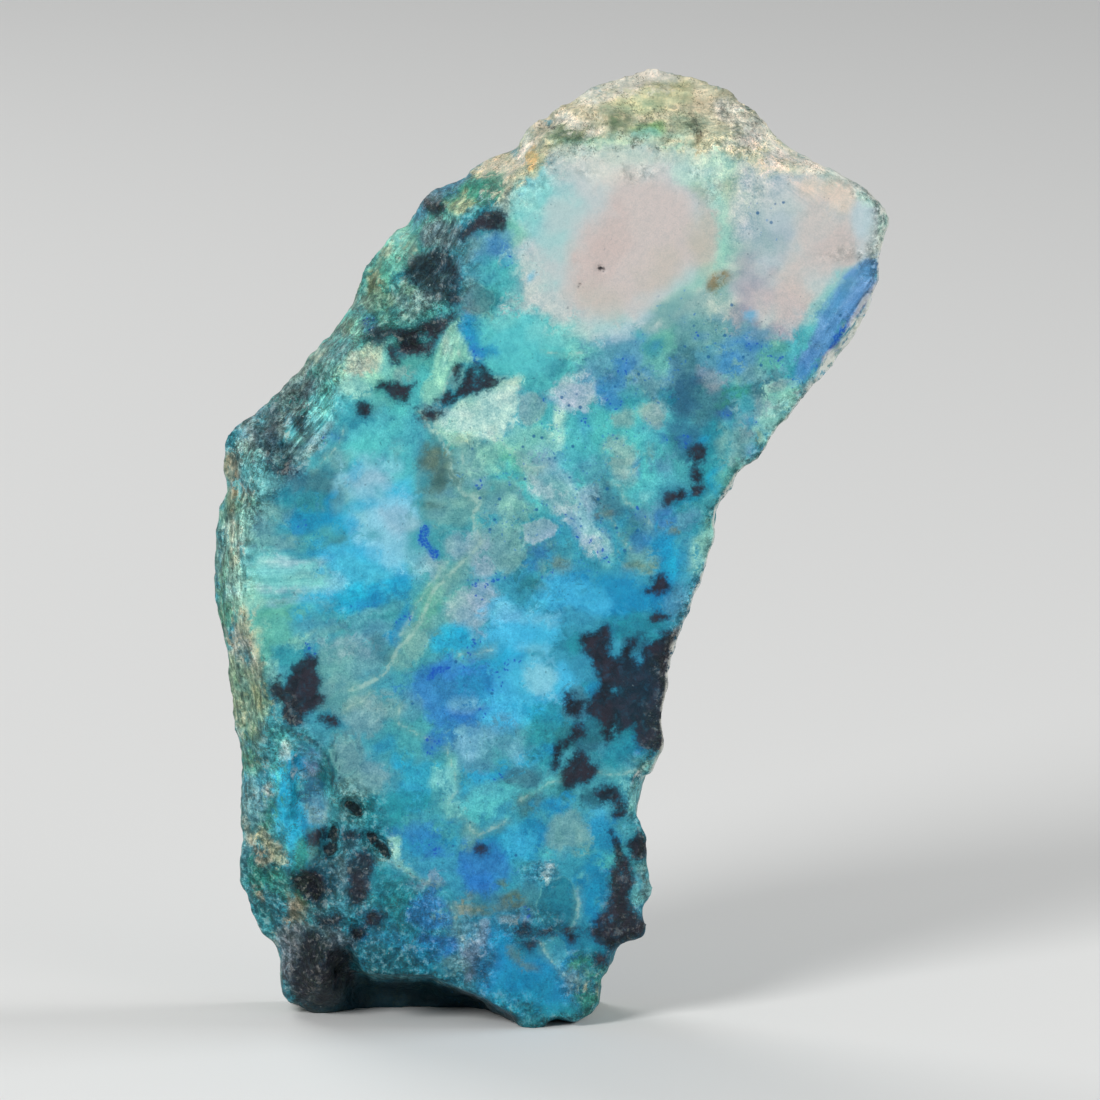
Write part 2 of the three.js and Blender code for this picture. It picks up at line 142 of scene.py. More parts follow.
# Soft clouds of colour, painted one over the other. A row holds the mineral, its strength, the width of
# its edge and then its shapes, on the sheet. An outline is a list of points. An oval is x, y, half width and
# half height, with its turn in degrees where it has one.
CLOUDS = [
    ("lagoon", 1.0, 60, (520, 600, 400, 520)),
    ("sea green", 0.5, 40, (330, 300, 120, 120, -45)),
    ("deep", 0.6, 40, (480, 990, 190, 90)),
    ("azure", 0.4, 40, (600, 620, 110, 110), (500, 900, 120, 90)),
    ("pearl", 1.0, 22, (700, 215, 200, 118)),
    ("turquoise", 0.5, 30, (580, 440, 110, 70)),
    # quartz lens on the left, with its mint fringe
    ("pale grey", 1.0, 12, [(520, 236), (545, 212), (548, 165), (600, 150), (680, 150), (712, 190),
                            (722, 240), (700, 275), (650, 310), (620, 338), (580, 342), (540, 336),
                            (516, 320), (507, 300)]),
    ("aqua", 0.8, 12, (534, 196, 18, 30, 20), (570, 348, 50, 8, 8), (522, 318, 14, 10, 30)),
    ("aqua", 0.45, 22, (550, 222, 26, 50, 10), (600, 330, 44, 14, -5), (684, 284, 26, 12, -30)),
    ("turquoise", 0.55, 12, (512, 228, 8, 18, 10), (530, 336, 16, 8, 20), (511, 268, 6, 14)),
    ("bone", 0.3, 16, (620, 165, 70, 13), (610, 182, 26, 12)),
    ("sky", 0.35, 8, (526, 180, 6, 14, 15)),
    ("sea green", 0.6, 8, (512, 232, 10, 12, -30)),
    ("rose", 0.85, 34, [(596, 208), (620, 186), (655, 172), (684, 194), (704, 222), (702, 262), (668, 288),
                        (634, 312), (596, 314), (576, 298), (574, 252)]),
    ("pale grey", 0.5, 12, (566, 215, 18, 14), (612, 312, 20, 8, -20)),
    ("blush", 0.6, 16, (612, 236, 18, 26, 20), (598, 262, 14, 24, 20)),
    ("warm grey", 0.7, 14, (705, 238, 12, 32)),
    ("warm grey", 0.4, 20, (660, 270, 30, 14, -30), (604, 300, 24, 14)),
    # mint bands between the lenses
    ("pale mint", 0.6, 8, (692, 170, 22, 14), (724, 166, 16, 14)),
    ("mint", 0.55, 7, (724, 232, 6, 38, 2), (716, 200, 8, 14, -15), (732, 250, 12, 14)),
    ("sage", 0.45, 7, (732, 190, 9, 18, 10), (694, 188, 9, 7)),
    ("sea green", 0.3, 8, (706, 274, 16, 8, -45), (680, 298, 28, 9, -32)),
    ("grey", 0.5, 10, (742, 240, 12, 26)),
    ("grey teal", 0.75, 9, (690, 314, 36, 16, -10), (655, 318, 22, 7, -32), (722, 290, 18, 12)),
    ("slate", 0.45, 6, (738, 272, 16, 6, -18)),
    ("umber", 0.9, 5, (720, 281, 11, 8, -20)),
    ("olive", 0.6, 4, (722, 282, 7, 5, -20)),
    # quartz lens on the right
    ("pale grey", 0.9, 12, [(742, 176), (800, 168), (860, 190), (884, 216), (876, 256), (836, 280),
                            (790, 334), (744, 316), (728, 290), (756, 262), (738, 232)]),
    ("rose", 0.65, 24, (828, 226, 34, 46, 10), (792, 290, 30, 42, 20), (756, 300, 16, 20)),
    ("pale grey", 0.5, 12, (762, 272, 18, 16), (812, 286, 10, 18, 20), (846, 206, 18, 10)),
    ("mist", 0.5, 14, (772, 228, 24, 18), (764, 250, 20, 14)),
    ("grey", 0.4, 14, (756, 232, 18, 26), (770, 244, 12, 10)),
    ("lilac", 0.25, 8, (784, 234, 10, 8)),
    ("violet grey", 0.6, 14, (746, 278, 14, 26)),
    ("violet grey", 0.35, 14, (766, 286, 14, 26)),
    ("peach", 0.55, 10, (828, 190, 30, 14, 18)),
    ("blush", 0.45, 14, (848, 246, 18, 14), (790, 300, 18, 20)),
    ("violet grey", 0.75, 8, (742, 322, 18, 16, 30), (764, 336, 20, 10)),
    ("sky", 0.55, 4, (752, 316, 7, 4, 15), (532, 278, 3, 4)),
    ("ice", 0.7, 9, (864, 222, 10, 26)),
    ("pale mint", 0.7, 4, (882, 222, 5, 24), (868, 200, 12, 5, 30)),
    # azurite wedge
    ("turquoise", 0.5, 6, [(838, 272), (868, 258), (846, 284), (824, 318), (800, 350), (790, 376),
                           (770, 374), (784, 346), (812, 306)]),
    ("bluestone", 0.95, 5, [(852, 268), (868, 257), (879, 260), (877, 284), (850, 322), (816, 364),
                            (802, 384), (790, 386), (796, 358), (814, 326), (836, 290)]),
    ("cobalt", 0.35, 6, [(870, 282), (874, 290), (846, 326), (814, 364), (800, 374), (806, 350),
                         (832, 318)]),
    ("azure", 0.4, 5, (804, 372, 10, 12, 30), (838, 300, 22, 6, -55), (868, 272, 8, 6)),
    ("steel", 0.5, 5, (846, 286, 12, 5, -40)),
    ("grey", 0.9, 3, [(884, 272), (882, 300), (870, 326), (852, 348), (834, 366), (818, 384), (806, 402),
                      (796, 400), (808, 380), (824, 362), (846, 334), (862, 312), (874, 292)]),
    ("bone", 0.6, 4, (862, 330, 20, 5, -50), (880, 300, 4, 18, 10)),
    ("sky", 0.6, 4, (822, 372, 8, 4, -30)),
    # speckled ground under the quartz
    ("steel", 0.8, 12, (640, 368, 54, 32), (720, 355, 60, 30, 10)),
    ("ice", 0.6, 8, (614, 338, 18, 9, -25), (640, 322, 14, 6, -30)),
    ("grey teal", 0.8, 10, (690, 335, 40, 18), (648, 385, 18, 12), (750, 375, 24, 12, -20)),
    ("sea green", 0.7, 8, (658, 352, 14, 26, 15), (776, 352, 10, 16, 40)),
    ("slate", 0.8, 8, (684, 375, 18, 28), (700, 402, 34, 24, 20), (652, 398, 10, 6)),
    ("cobalt", 0.55, 7, (626, 374, 11, 16, 15), (606, 388, 14, 10, -40), (748, 345, 22, 8, 10),
     (730, 360, 12, 14), (612, 402, 12, 8)),
    ("violet grey", 0.55, 7, (710, 382, 15, 13)),
    ("ink blue", 0.65, 8, (680, 404, 10, 26), (684, 440, 20, 20), (696, 385, 10, 14)),
    ("malachite", 0.65, 5, (740, 396, 20, 5, -20)),
    ("grey", 0.75, 5, (777, 385, 13, 7, -25), (764, 399, 12, 8, -20)),
    ("teal", 0.6, 6, (636, 396, 12, 10), (664, 400, 8, 12), (653, 348, 8, 10)),
    # breccia of the centre
    ("pale mint", 0.85, 8, (478, 418, 38, 23, -10), (500, 395, 18, 14), (560, 420, 7, 18)),
    ("straw", 0.5, 5, (462, 438, 7, 5)),
    ("pearl", 0.6, 7, (506, 394, 14, 10), (492, 430, 10, 9), (470, 410, 12, 8)),
    ("sea green", 0.6, 10, (505, 450, 24, 12), (520, 460, 18, 14), (452, 425, 6, 12)),
    ("grey teal", 0.75, 9, (468, 472, 18, 34), (485, 455, 18, 16), (505, 500, 30, 26), (500, 548, 30, 26)),
    ("mint", 0.6, 8, (532, 440, 30, 12), (512, 505, 10, 10), (506, 525, 12, 7), (486, 460, 10, 16)),
    ("ice", 0.85, 8, (574, 392, 26, 15, -5)),
    ("steel", 0.5, 7, (590, 470, 16, 13, 20), (548, 455, 16, 10)),
    ("turquoise", 0.7, 9, (612, 438, 44, 24), (640, 486, 18, 20, 30), (536, 490, 20, 12, 40)),
    ("grey", 0.7, 6, (650, 415, 12, 13), (621, 454, 17, 18), (622, 420, 12, 9)),
    ("mist", 0.5, 6, (470, 550, 22, 14), (436, 570, 12, 8), (486, 567, 10, 7), (590, 500, 12, 14, 20)),
    ("slate", 0.7, 8, (612, 505, 18, 12, 35), (636, 528, 14, 12), (540, 552, 24, 8), (606, 487, 8, 7, 40)),
    ("umber", 0.35, 5, (606, 512, 7, 5), (650, 458, 5, 7)),
    ("aqua", 0.75, 5, (578, 508, 44, 5, 55), (590, 530, 32, 7, 57), (600, 545, 16, 7, 60),
     (645, 500, 6, 8)),
    ("mist", 0.4, 8, [(514, 452), (548, 450), (574, 484), (600, 524), (616, 552), (598, 556), (570, 528),
                      (540, 496)]),
    ("ice", 0.8, 5, (544, 486, 24, 6, 54), (564, 510, 14, 5, 52), (590, 542, 16, 7, 45)),
    ("dusk", 0.5, 5, (598, 502, 8, 4, 30), (606, 514, 6, 3, 20)),
    ("grey", 0.45, 6, (625, 470, 12, 16), (530, 470, 12, 6)),
    ("cobalt", 0.55, 5, (540, 554, 8, 5), (535, 564, 6, 3)),
    ("dark teal", 0.6, 6, (532, 584, 12, 11), (512, 560, 18, 5, 20)),
    ("grey teal", 0.7, 6, (642, 558, 20, 14), (560, 565, 12, 8)),
    ("olive", 0.45, 5, (540, 586, 6, 4), (560, 563, 8, 5), (640, 566, 14, 5)),
    ("grey teal", 0.75, 9, [(466, 556), (474, 566), (456, 584), (440, 606), (432, 630), (416, 650),
                            (396, 660), (402, 640), (416, 616), (428, 590), (444, 570)]),
    # blue sea of the centre right
    ("azure", 0.85, 10, (610, 592, 46, 20), (665, 548, 12, 34), (640, 604, 34, 13, -5)),
    ("sky", 0.6, 8, (585, 600, 30, 14), (560, 590, 24, 12), (606, 604, 9, 9)),
    ("cyan", 0.6, 7, (690, 500, 18, 10, -40), (668, 560, 8, 16), (530, 640, 22, 14)),
    ("lake", 0.55, 8, (616, 622, 18, 10), (560, 642, 12, 10), (400, 800, 30, 10)),
    ("steel", 0.7, 8, (655, 516, 22, 16), (688, 520, 14, 9), (664, 465, 10, 16)),
    ("cobalt", 0.5, 5, (664, 520, 9, 9), (640, 542, 8, 8), (638, 468, 4, 10, 15)),
    ("teal", 0.8, 7, (712, 438, 12, 22), (690, 500, 22, 8, -30), (640, 628, 26, 12), (708, 470, 10, 16)),
    ("dusk", 0.6, 7, (636, 640, 12, 14), (588, 744, 12, 8)),
    ("cyan", 0.55, 5, (702, 441, 7, 5), (716, 480, 6, 14), (688, 506, 12, 5, -40)),
    ("grey teal", 0.7, 6, (735, 470, 10, 14, 30), (745, 458, 18, 7, -15)),
    ("sea green", 0.5, 5, (726, 478, 8, 12, 30), (741, 470, 8, 5)),
    ("mint", 0.75, 6, (704, 548, 9, 22, 18), (786, 398, 20, 12, -55), (772, 424, 24, 18, -50)),
    ("grey teal", 0.75, 7, (736, 440, 13, 18, 12), (722, 440, 6, 10)),
    ("grey", 0.7, 7, (744, 430, 8, 12, 12), (765, 410, 20, 8, -20)),
    ("aqua", 0.6, 5, (752, 464, 12, 4, -20)),
    ("teal", 0.6, 5, (694, 530, 9, 8)),
    ("olive", 0.7, 3, (758, 438, 3, 7), (675, 534, 5, 4)),
    ("indigo", 0.45, 7, (728, 415, 8, 6, 30), (685, 441, 8, 8), (662, 438, 6, 5)),
    ("steel", 0.5, 5, (682, 600, 10, 16, 20)),
    # upper left of the face
    ("turquoise", 0.9, 9, (522, 342, 46, 30, 8)),
    ("aqua", 0.5, 8, (550, 335, 24, 14, 10), (500, 320, 14, 8)),
    ("steel", 0.85, 8, (478, 252, 28, 18), (500, 240, 12, 12)),
    ("lagoon", 0.8, 7, (478, 270, 30, 12), (505, 285, 18, 12, 30), (462, 312, 9, 14)),
    ("grey teal", 0.7, 6, (470, 245, 14, 12), (472, 283, 9, 6), (466, 262, 8, 10)),
    ("cobalt", 0.45, 7, (500, 244, 8, 14, -10)),
    ("turquoise", 0.4, 7, (502, 266, 8, 8), (500, 288, 10, 10)),
    ("azure", 0.8, 5, (474, 345, 8, 20, -10), (466, 325, 8, 10), (488, 352, 8, 5)),
    ("cobalt", 0.6, 3, (474, 350, 6, 10)),
    ("cyan", 0.4, 5, (420, 214, 8, 8, -40), (452, 192, 12, 7, -30), (486, 212, 8, 4, -30),
     (462, 232, 10, 6, -30)),
    # upper left blues
    ("turquoise", 0.75, 10, (335, 402, 26, 24, -40), (375, 440, 30, 14), (400, 428, 22, 14)),
    ("teal", 0.65, 6, (352, 424, 24, 7), (345, 410, 12, 6), (412, 465, 8, 14)),
    ("slate", 0.85, 10, (296, 490, 46, 26, -10), (328, 496, 12, 26)),
    ("teal", 0.6, 8, (300, 505, 40, 16), (286, 492, 10, 16)),
    ("azure", 0.8, 7, (302, 522, 26, 9, -4), (345, 524, 22, 10), (338, 500, 10, 14), (320, 550, 20, 6)),
    ("grey teal", 0.7, 7, (262, 518, 20, 12), (272, 542, 24, 7), (340, 460, 14, 11)),
    ("slate", 0.45, 6, (342, 545, 14, 9)),
    ("turquoise", 0.75, 14, (402, 466, 18, 32), (364, 446, 20, 14)),
    ("sky", 0.75, 14, (404, 496, 18, 24), (366, 566, 42, 26)),
    ("pale sky", 0.7, 14, (368, 476, 26, 18, -20), (372, 520, 24, 14), (395, 518, 24, 24),
     (392, 548, 26, 18), (420, 562, 14, 10)),
    ("grey teal", 0.5, 10, (342, 500, 10, 14, 20), (398, 452, 10, 12)),
    ("lilac", 0.35, 9, (376, 478, 18, 10), (400, 518, 18, 12), (430, 562, 12, 8)),
    ("cyan", 0.5, 8, (346, 522, 9, 14, 20), (362, 506, 14, 6), (366, 556, 18, 8), (358, 470, 4, 6)),
    ("steel", 0.5, 7, (440, 510, 12, 10)),
    ("cyan", 0.85, 6, (360, 592, 48, 9, -10), (350, 605, 38, 6, -12)),
    ("azure", 0.7, 5, (368, 600, 22, 7, -10), (365, 604, 9, 4), (402, 590, 10, 12, 20)),
    ("pale sky", 0.6, 7, (332, 586, 18, 9, -20), (350, 616, 44, 4, -12)),
    ("aqua", 0.8, 8, (278, 575, 46, 18), (262, 595, 24, 10), (250, 560, 14, 10)),
    ("ice", 0.5, 5, (286, 562, 32, 6), (280, 602, 26, 4, -3), (280, 588, 22, 4)),
    ("grey teal", 0.5, 6, (305, 575, 22, 5), (330, 630, 24, 7, -15), (325, 603, 8, 4)),
    ("sea green", 0.6, 8, (270, 628, 26, 18), (262, 655, 12, 18), (276, 612, 30, 5, -5)),
    ("mint", 0.6, 6, (256, 600, 12, 12), (268, 668, 9, 12), (300, 640, 20, 6, -10)),
    ("teal", 0.6, 6, (330, 620, 36, 5, -12), (290, 655, 16, 14, -40), (308, 648, 6, 10)),
    ("steel", 0.7, 9, (378, 630, 28, 14, -10), (345, 622, 24, 6)),
    ("grey teal", 0.65, 9, (344, 660, 34, 20), (340, 692, 26, 18), (322, 688, 12, 14)),
    ("mist", 0.4, 8, (345, 655, 18, 8), (356, 642, 16, 8)),
    ("azure", 0.75, 5, (402, 622, 7, 20, 28), (396, 640, 6, 7)),
    ("slate", 0.6, 6, (384, 655, 12, 12), (370, 640, 10, 5)),
    # olive cloud left of the vein
    ("grey teal", 0.7, 8, (436, 480, 18, 34), (448, 512, 22, 18)),
    ("bronze", 0.75, 7, (434, 462, 14, 22), (446, 474, 12, 16), (432, 508, 14, 5)),
    ("olive", 0.4, 4, (432, 460, 5, 6), (438, 452, 8, 4)),
    ("teal", 0.6, 5, (424, 480, 7, 12), (420, 500, 6, 8)),
    ("steel", 0.5, 5, (452, 494, 6, 3)),
    # around the lower vein
    ("sea green", 0.6, 8, (428, 608, 22, 12, -55), (462, 600, 16, 9, -20)),
    ("mist", 0.6, 8, (470, 612, 24, 24), (486, 600, 12, 14)),
    ("grey teal", 0.5, 7, (452, 585, 20, 8, -30), (442, 625, 14, 10)),
    ("sky", 0.8, 9, (520, 626, 36, 24), (500, 610, 16, 10), (516, 640, 40, 14)),
    ("pale sky", 0.45, 8, (510, 612, 18, 9), (540, 620, 16, 6), (530, 650, 14, 5)),
    ("cyan", 0.75, 8, (452, 640, 26, 12), (492, 660, 30, 10, -10), (460, 632, 16, 8)),
    ("grey teal", 0.7, 5, (416, 644, 12, 18), (405, 662, 14, 8)),
    # blues of the lower centre
    ("cobalt", 0.75, 12, (456, 690, 46, 32), (460, 730, 26, 20)),
    ("azure", 0.6, 9, (490, 685, 26, 14)),
    ("cobalt", 0.6, 6, (448, 672, 16, 9), (450, 715, 20, 10)),
    ("sky", 0.85, 10, (530, 690, 40, 36), (505, 712, 26, 18)),
    ("pale sky", 0.75, 9, (544, 678, 18, 22)),
    ("cyan", 0.7, 7, (540, 712, 18, 9), (500, 772, 40, 7, -22)),
    ("steel", 0.6, 9, (474, 748, 26, 22), (505, 735, 20, 14), (480, 655, 16, 7, -10)),
    ("pale sky", 0.45, 7, (478, 742, 18, 14), (516, 750, 6, 7), (462, 705, 9, 5)),
    ("teal", 0.8, 8, (545, 740, 16, 30), (560, 715, 10, 14), (590, 690, 14, 9), (575, 645, 10, 10)),
    ("azure", 0.6, 5, (548, 748, 9, 7), (594, 690, 8, 6)),
    ("slate", 0.75, 6, (522, 778, 16, 10), (532, 803, 12, 11, -20), (576, 706, 14, 12)),
    ("abyss", 0.7, 7, (590, 800, 16, 14)),
    ("dark teal", 0.7, 6, (562, 790, 12, 12), (596, 728, 18, 12), (566, 738, 12, 14)),
    ("turquoise", 0.7, 6, (495, 800, 34, 7, -14), (545, 788, 18, 4, -18), (482, 814, 16, 8)),
    ("azure", 0.85, 5, (634, 746, 14, 8, 15), (558, 808, 14, 7)),
    ("teal", 0.85, 6, (625, 740, 14, 14), (612, 756, 12, 12)),
    ("moss", 0.4, 4, (634, 759, 10, 4), (562, 775, 8, 6)),
    ("aqua", 0.85, 3, (648, 765, 14, 4, -38), (632, 795, 4, 16)),
    ("azure", 0.8, 8, (532, 842, 18, 24), (602, 832, 18, 22), (505, 845, 18, 14)),
    ("sky", 0.5, 7, (518, 842, 16, 14), (595, 812, 14, 8)),
    ("cobalt", 0.75, 8, (488, 866, 32, 22), (480, 885, 20, 12)),
    ("grey teal", 0.6, 7, (468, 836, 10, 12), (455, 812, 9, 9)),
    ("grey teal", 0.8, 6, (568, 834, 17, 22, 10)),
    ("turquoise", 0.7, 6, (545, 850, 8, 10), (610, 866, 8, 14)),
    ("aqua", 0.75, 4, (590, 876, 10, 3)),
    ("frost", 0.7, 3, (551, 868, 6, 5), (548, 876, 7, 2)),
    ("azure", 0.9, 6, (594, 893, 14, 30)),
    ("slate", 0.6, 6, (530, 896, 14, 14), (500, 900, 20, 10), (528, 916, 12, 8)),
    ("olive", 0.6, 5, (516, 897, 12, 6), (478, 908, 26, 5)),
    ("tan", 0.3, 5, (466, 909, 12, 3), (510, 918, 8, 4), (470, 898, 8, 4)),
    ("steel", 0.8, 7, (465, 934, 16, 18)),
    ("lilac", 0.5, 5, (472, 958, 9, 22, 10), (486, 932, 6, 12)),
    ("azure", 0.7, 8, (505, 980, 30, 26), (545, 985, 36, 26), (500, 945, 18, 16)),
    ("cyan", 0.5, 5, (532, 1000, 14, 7), (500, 940, 14, 9), (510, 1010, 18, 7, 20)),
    ("olive", 0.5, 4, (516, 955, 9, 5, 30), (530, 966, 9, 3, 25)),
    ("ink blue", 0.55, 6, (482, 972, 12, 14), (490, 958, 8, 8)),
    ("malachite", 0.75, 5, (594, 972, 12, 6), (588, 1002, 9, 14, 20), (575, 962, 9, 7), (598, 985, 5, 10)),
    ("grey", 0.5, 4, (574, 982, 7, 7), (580, 974, 8, 3)),
    ("straw", 0.7, 2, (586, 986, 3, 6)),
    ("teal", 0.7, 7, (562, 1012, 30, 7), (596, 960, 10, 12)),
    ("slate", 0.9, 4, (761, 392, 11, 8, -20), (772, 380, 9, 7, -30)),
    ("grey teal", 0.8, 5, (644, 870, 9, 10), (646, 888, 8, 10)),
    ("steel", 0.5, 4, (640, 930, 7, 7)),
    # lower left of the face
    ("lagoon", 0.8, 9, (405, 770, 46, 34), (395, 730, 26, 34)),
    ("grey", 0.5, 7, (362, 716, 20, 16), (380, 700, 14, 12), (368, 770, 22, 12)),
    ("grey teal", 0.8, 5, (346, 754, 15, 24), (368, 785, 22, 14, -15)),
    ("slate", 0.5, 6, (346, 752, 14, 20)),
    ("azure", 0.6, 6, (384, 745, 14, 9, -20), (420, 840, 28, 12)),
    ("cyan", 0.55, 8, (418, 785, 22, 22), (400, 760, 14, 16)),
    ("steel", 0.5, 7, (408, 704, 12, 12)),
    ("teal", 0.85, 5, (392, 802, 34, 12, -5), (384, 826, 18, 18), (372, 808, 10, 8)),
    ("cobalt", 0.6, 6, (432, 740, 10, 12), (415, 830, 22, 9), (436, 850, 12, 6)),
    ("aqua", 0.7, 4, (452, 776, 6, 26, 3), (452, 808, 8, 10), (440, 780, 9, 10)),
    ("mint", 0.8, 4, (394, 846, 7, 10), (404, 868, 12, 4, 30)),
    ("lilac", 0.5, 4, (414, 885, 24, 4, 3), (434, 884, 12, 5)),
    ("teal", 0.85, 9, (396, 905, 28, 28), (380, 875, 16, 12), (350, 940, 12, 20)),
    ("cobalt", 0.8, 8, (428, 910, 20, 18), (436, 945, 18, 14)),
    ("azure", 0.6, 7, (425, 955, 24, 12), (390, 940, 20, 9)),
    ("deep", 0.7, 7, (385, 962, 36, 12), (405, 930, 20, 7)),
    ("cyan", 0.4, 3, (365, 965, 6, 6), (412, 970, 18, 4)),
    ("grey teal", 0.6, 5, (455, 966, 14, 9)),
    # scoop and the pockets beside it, with painted light on its ridge and painted shadow under its ledge
    ("sky", 0.8, 5, (298, 768, 14, 12)),
    ("ink blue", 0.85, 5, (314, 780, 14, 16)),
    ("cobalt", 0.5, 4, (308, 768, 8, 5)),
    ("lilac", 0.5, 4, (312, 768, 7, 7, -45), (300, 778, 6, 4)),
    # dark teal in the scoop; the thin strip at its top is painted shadow under the ledge
    ("dark teal", 0.8, 5, (326, 768, 7, 20, -20), (305, 737, 16, 4, 20)),
    ("grey", 0.6, 5, (312, 812, 16, 10)),
    # the ridge left of the scoop: cyan stone, painted lighter where it faces the light
    ("turquoise", 0.9, 5, [(277, 728), (285, 734), (291, 746), (286, 762), (285, 790), (289, 820),
                           (293, 845), (299, 872), (291, 874), (284, 848), (280, 815), (275, 780),
                           (275, 750)]),
    ("cyan", 0.8, 5, (300, 856, 8, 16), (300, 826, 8, 16), (284, 800, 5, 26)),
    ("cyan", 0.8, 6, [(280, 746), (297, 750), (302, 764), (298, 790), (304, 820), (306, 850), (300, 872),
                      (290, 872), (286, 840), (280, 800)]),
    # painted highlight on the ridge
    ("frost", 0.75, 5, (284, 752, 5, 10)),
    # painted shadow under the ledge at the top of the scoop
    ("dark teal", 0.7, 5, (302, 738, 12, 6, 25)),
    ("steel", 0.6, 4, (308, 760, 10, 8), (318, 800, 8, 10)),
    ("moss", 0.5, 5, (310, 850, 8, 14), (306, 832, 6, 6)),
    ("slate", 0.85, 6, (350, 846, 14, 9), (341, 880, 9, 22), (318, 908, 12, 8)),
    ("grey", 0.4, 4, (345, 815, 8, 6), (340, 868, 6, 10)),
    ("slate", 0.6, 5, (352, 895, 5, 14), (322, 912, 12, 6)),
    ("abyss", 0.8, 6, (324, 868, 14, 18), (318, 890, 14, 14), (378, 928, 12, 12)),
    ("malachite", 0.8, 5, (298, 860, 7, 24), (302, 890, 7, 14)),
    ("ink blue", 0.6, 5, (326, 980, 16, 12), (314, 890, 7, 9)),
    ("druse", 0.7, 6, (318, 968, 34, 44, -8)),
    # natural top
    ("cream", 1.0, 8, [(470, 172), (520, 138), (560, 104), (600, 84), (650, 66), (700, 74), (740, 92),
                       (775, 130), (800, 158), (800, 170), (760, 168), (720, 150), (660, 146), (600, 148),
                       (545, 158), (510, 190)]),
    ("tan", 0.55, 8, (540, 124, 18, 8, -38), (700, 98, 30, 8, 8), (690, 110, 34, 8), (612, 114, 26, 5),
     (580, 104, 14, 5, -20), (505, 160, 20, 8, -40), (720, 92, 14, 5, 20)),
    ("chalk", 0.7, 5, (612, 90, 30, 9, -16), (592, 101, 8, 3), (590, 128, 14, 3), (742, 115, 14, 9, 30),
     (786, 158, 18, 8, 25), (575, 124, 9, 4), (640, 74, 20, 4, -5)),
    ("straw", 0.8, 8, (656, 96, 34, 13), (628, 105, 18, 7), (680, 88, 16, 8)),
    ("sage", 0.5, 6, (625, 110, 30, 4), (690, 122, 24, 8), (560, 134, 16, 6), (515, 148, 8, 16, 30)),
    ("moss", 0.6, 5, (562, 131, 12, 5, 5), (584, 136, 12, 4, 12), (574, 142, 14, 3, 10), (610, 126, 13, 4),
     (622, 124, 14, 8), (552, 139, 8, 3), (690, 128, 12, 4)),
    ("fern", 0.6, 5, (640, 130, 15, 6), (656, 127, 8, 5)),
    ("bone", 0.8, 3, (593, 133, 9, 4)),
    ("mint", 0.5, 5, (612, 144, 38, 4), (592, 150, 22, 3), (640, 136, 30, 4), (655, 134, 14, 5)),
    ("rind shadow", 0.7, 3, (636, 144, 4, 4), (694, 128, 3, 9, -10), (724, 118, 6, 2, 20),
     (752, 122, 5, 3)),
    ("umber", 0.6, 3, (697, 136, 4, 6), (741, 132, 7, 4)),
    ("bone", 0.85, 7, (628, 84, 30, 10, -12), (652, 74, 24, 7), (730, 116, 22, 14, 25),
     (752, 128, 16, 8, 30), (560, 122, 14, 5, -10)),
    ("pearl", 0.6, 8, (600, 156, 60, 7), (660, 154, 30, 7), (572, 152, 20, 6)),
    ("bone", 0.95, 5, (766, 148, 26, 11, 30), (735, 144, 12, 7), (806, 164, 18, 7, 14),
     (524, 154, 10, 14, -10)),
    ("straw", 0.8, 5, [(534, 148), (548, 146), (548, 156), (541, 172), (533, 182), (526, 180), (528, 164)]),
    ("ochre", 0.85, 3, [(529, 148), (534, 147), (534, 160), (531, 172), (526, 176), (524, 166),
                        (527, 156)]),
    ("cream", 0.75, 3, (505, 192, 5, 16, 30), (500, 172, 10, 7)),
    # upper left rind
    ("sea green", 0.8, 8, (398, 244, 22, 20, -30), (384, 268, 16, 22, 30), (440, 212, 26, 10, -30)),
    ("malachite", 0.85, 6, (478, 190, 26, 14, -20), (470, 200, 12, 8)),
    ("steel", 0.7, 5, (446, 190, 20, 6, -28), (420, 213, 9, 9, -40)),
    ("mint", 0.5, 5, (400, 240, 12, 12), (450, 216, 18, 6, -15)),
    ("straw", 0.7, 4, (460, 207, 11, 6, -10), (484, 168, 6, 6)),
    ("tan", 0.4, 4, (374, 280, 7, 10), (412, 250, 4, 14, 10), (386, 250, 4, 16, 35)),
    ("druse", 0.7, 6, (440, 234, 18, 16, -10), (434, 205, 11, 8), (434, 272, 26, 22)),
    ("teal", 0.7, 5, (396, 281, 10, 7)),
    ("sage", 0.7, 5, (404, 298, 18, 12, -40), (376, 300, 16, 16, 20)),
    ("grey", 0.6, 5, (408, 314, 12, 10), (424, 300, 14, 8)),
    ("sea green", 0.7, 5, (356, 326, 12, 10), (382, 316, 5, 14)),
    ("mint", 0.6, 4, (358, 330, 9, 7), (402, 320, 8, 5), (382, 322, 4, 9, 20)),
    ("umber", 0.45, 5, (318, 356, 24, 5, -42), (342, 330, 10, 8, -40), (352, 300, 7, 10, 20),
     (372, 277, 7, 12, 20)),
    ("grey teal", 0.7, 5, (332, 368, 14, 9, -40), (340, 350, 11, 7, -30), (322, 384, 12, 6, -40)),
    ("cream", 0.4, 4, (312, 364, 22, 3, -42)),
    # breccia of the upper left
    ("mint", 0.9, 5, [(350, 352), (370, 345), (386, 346), (398, 360), (392, 380), (380, 384), (372, 396),
                      (356, 402), (338, 392), (340, 372)]),
    ("cream", 0.55, 6, [(352, 352), (366, 347), (380, 350), (382, 362), (372, 374), (358, 380),
                        (346, 374)]),
    ("blush", 0.4, 5, (368, 366, 8, 9)),
    ("grey", 0.5, 7, (400, 300, 12, 10, -20)),
    ("night", 0.5, 6, (444, 298, 20, 7)),
    ("teal", 0.6, 6, (456, 250, 10, 12)),
    ("aqua", 0.6, 4, (386, 364, 7, 14)),
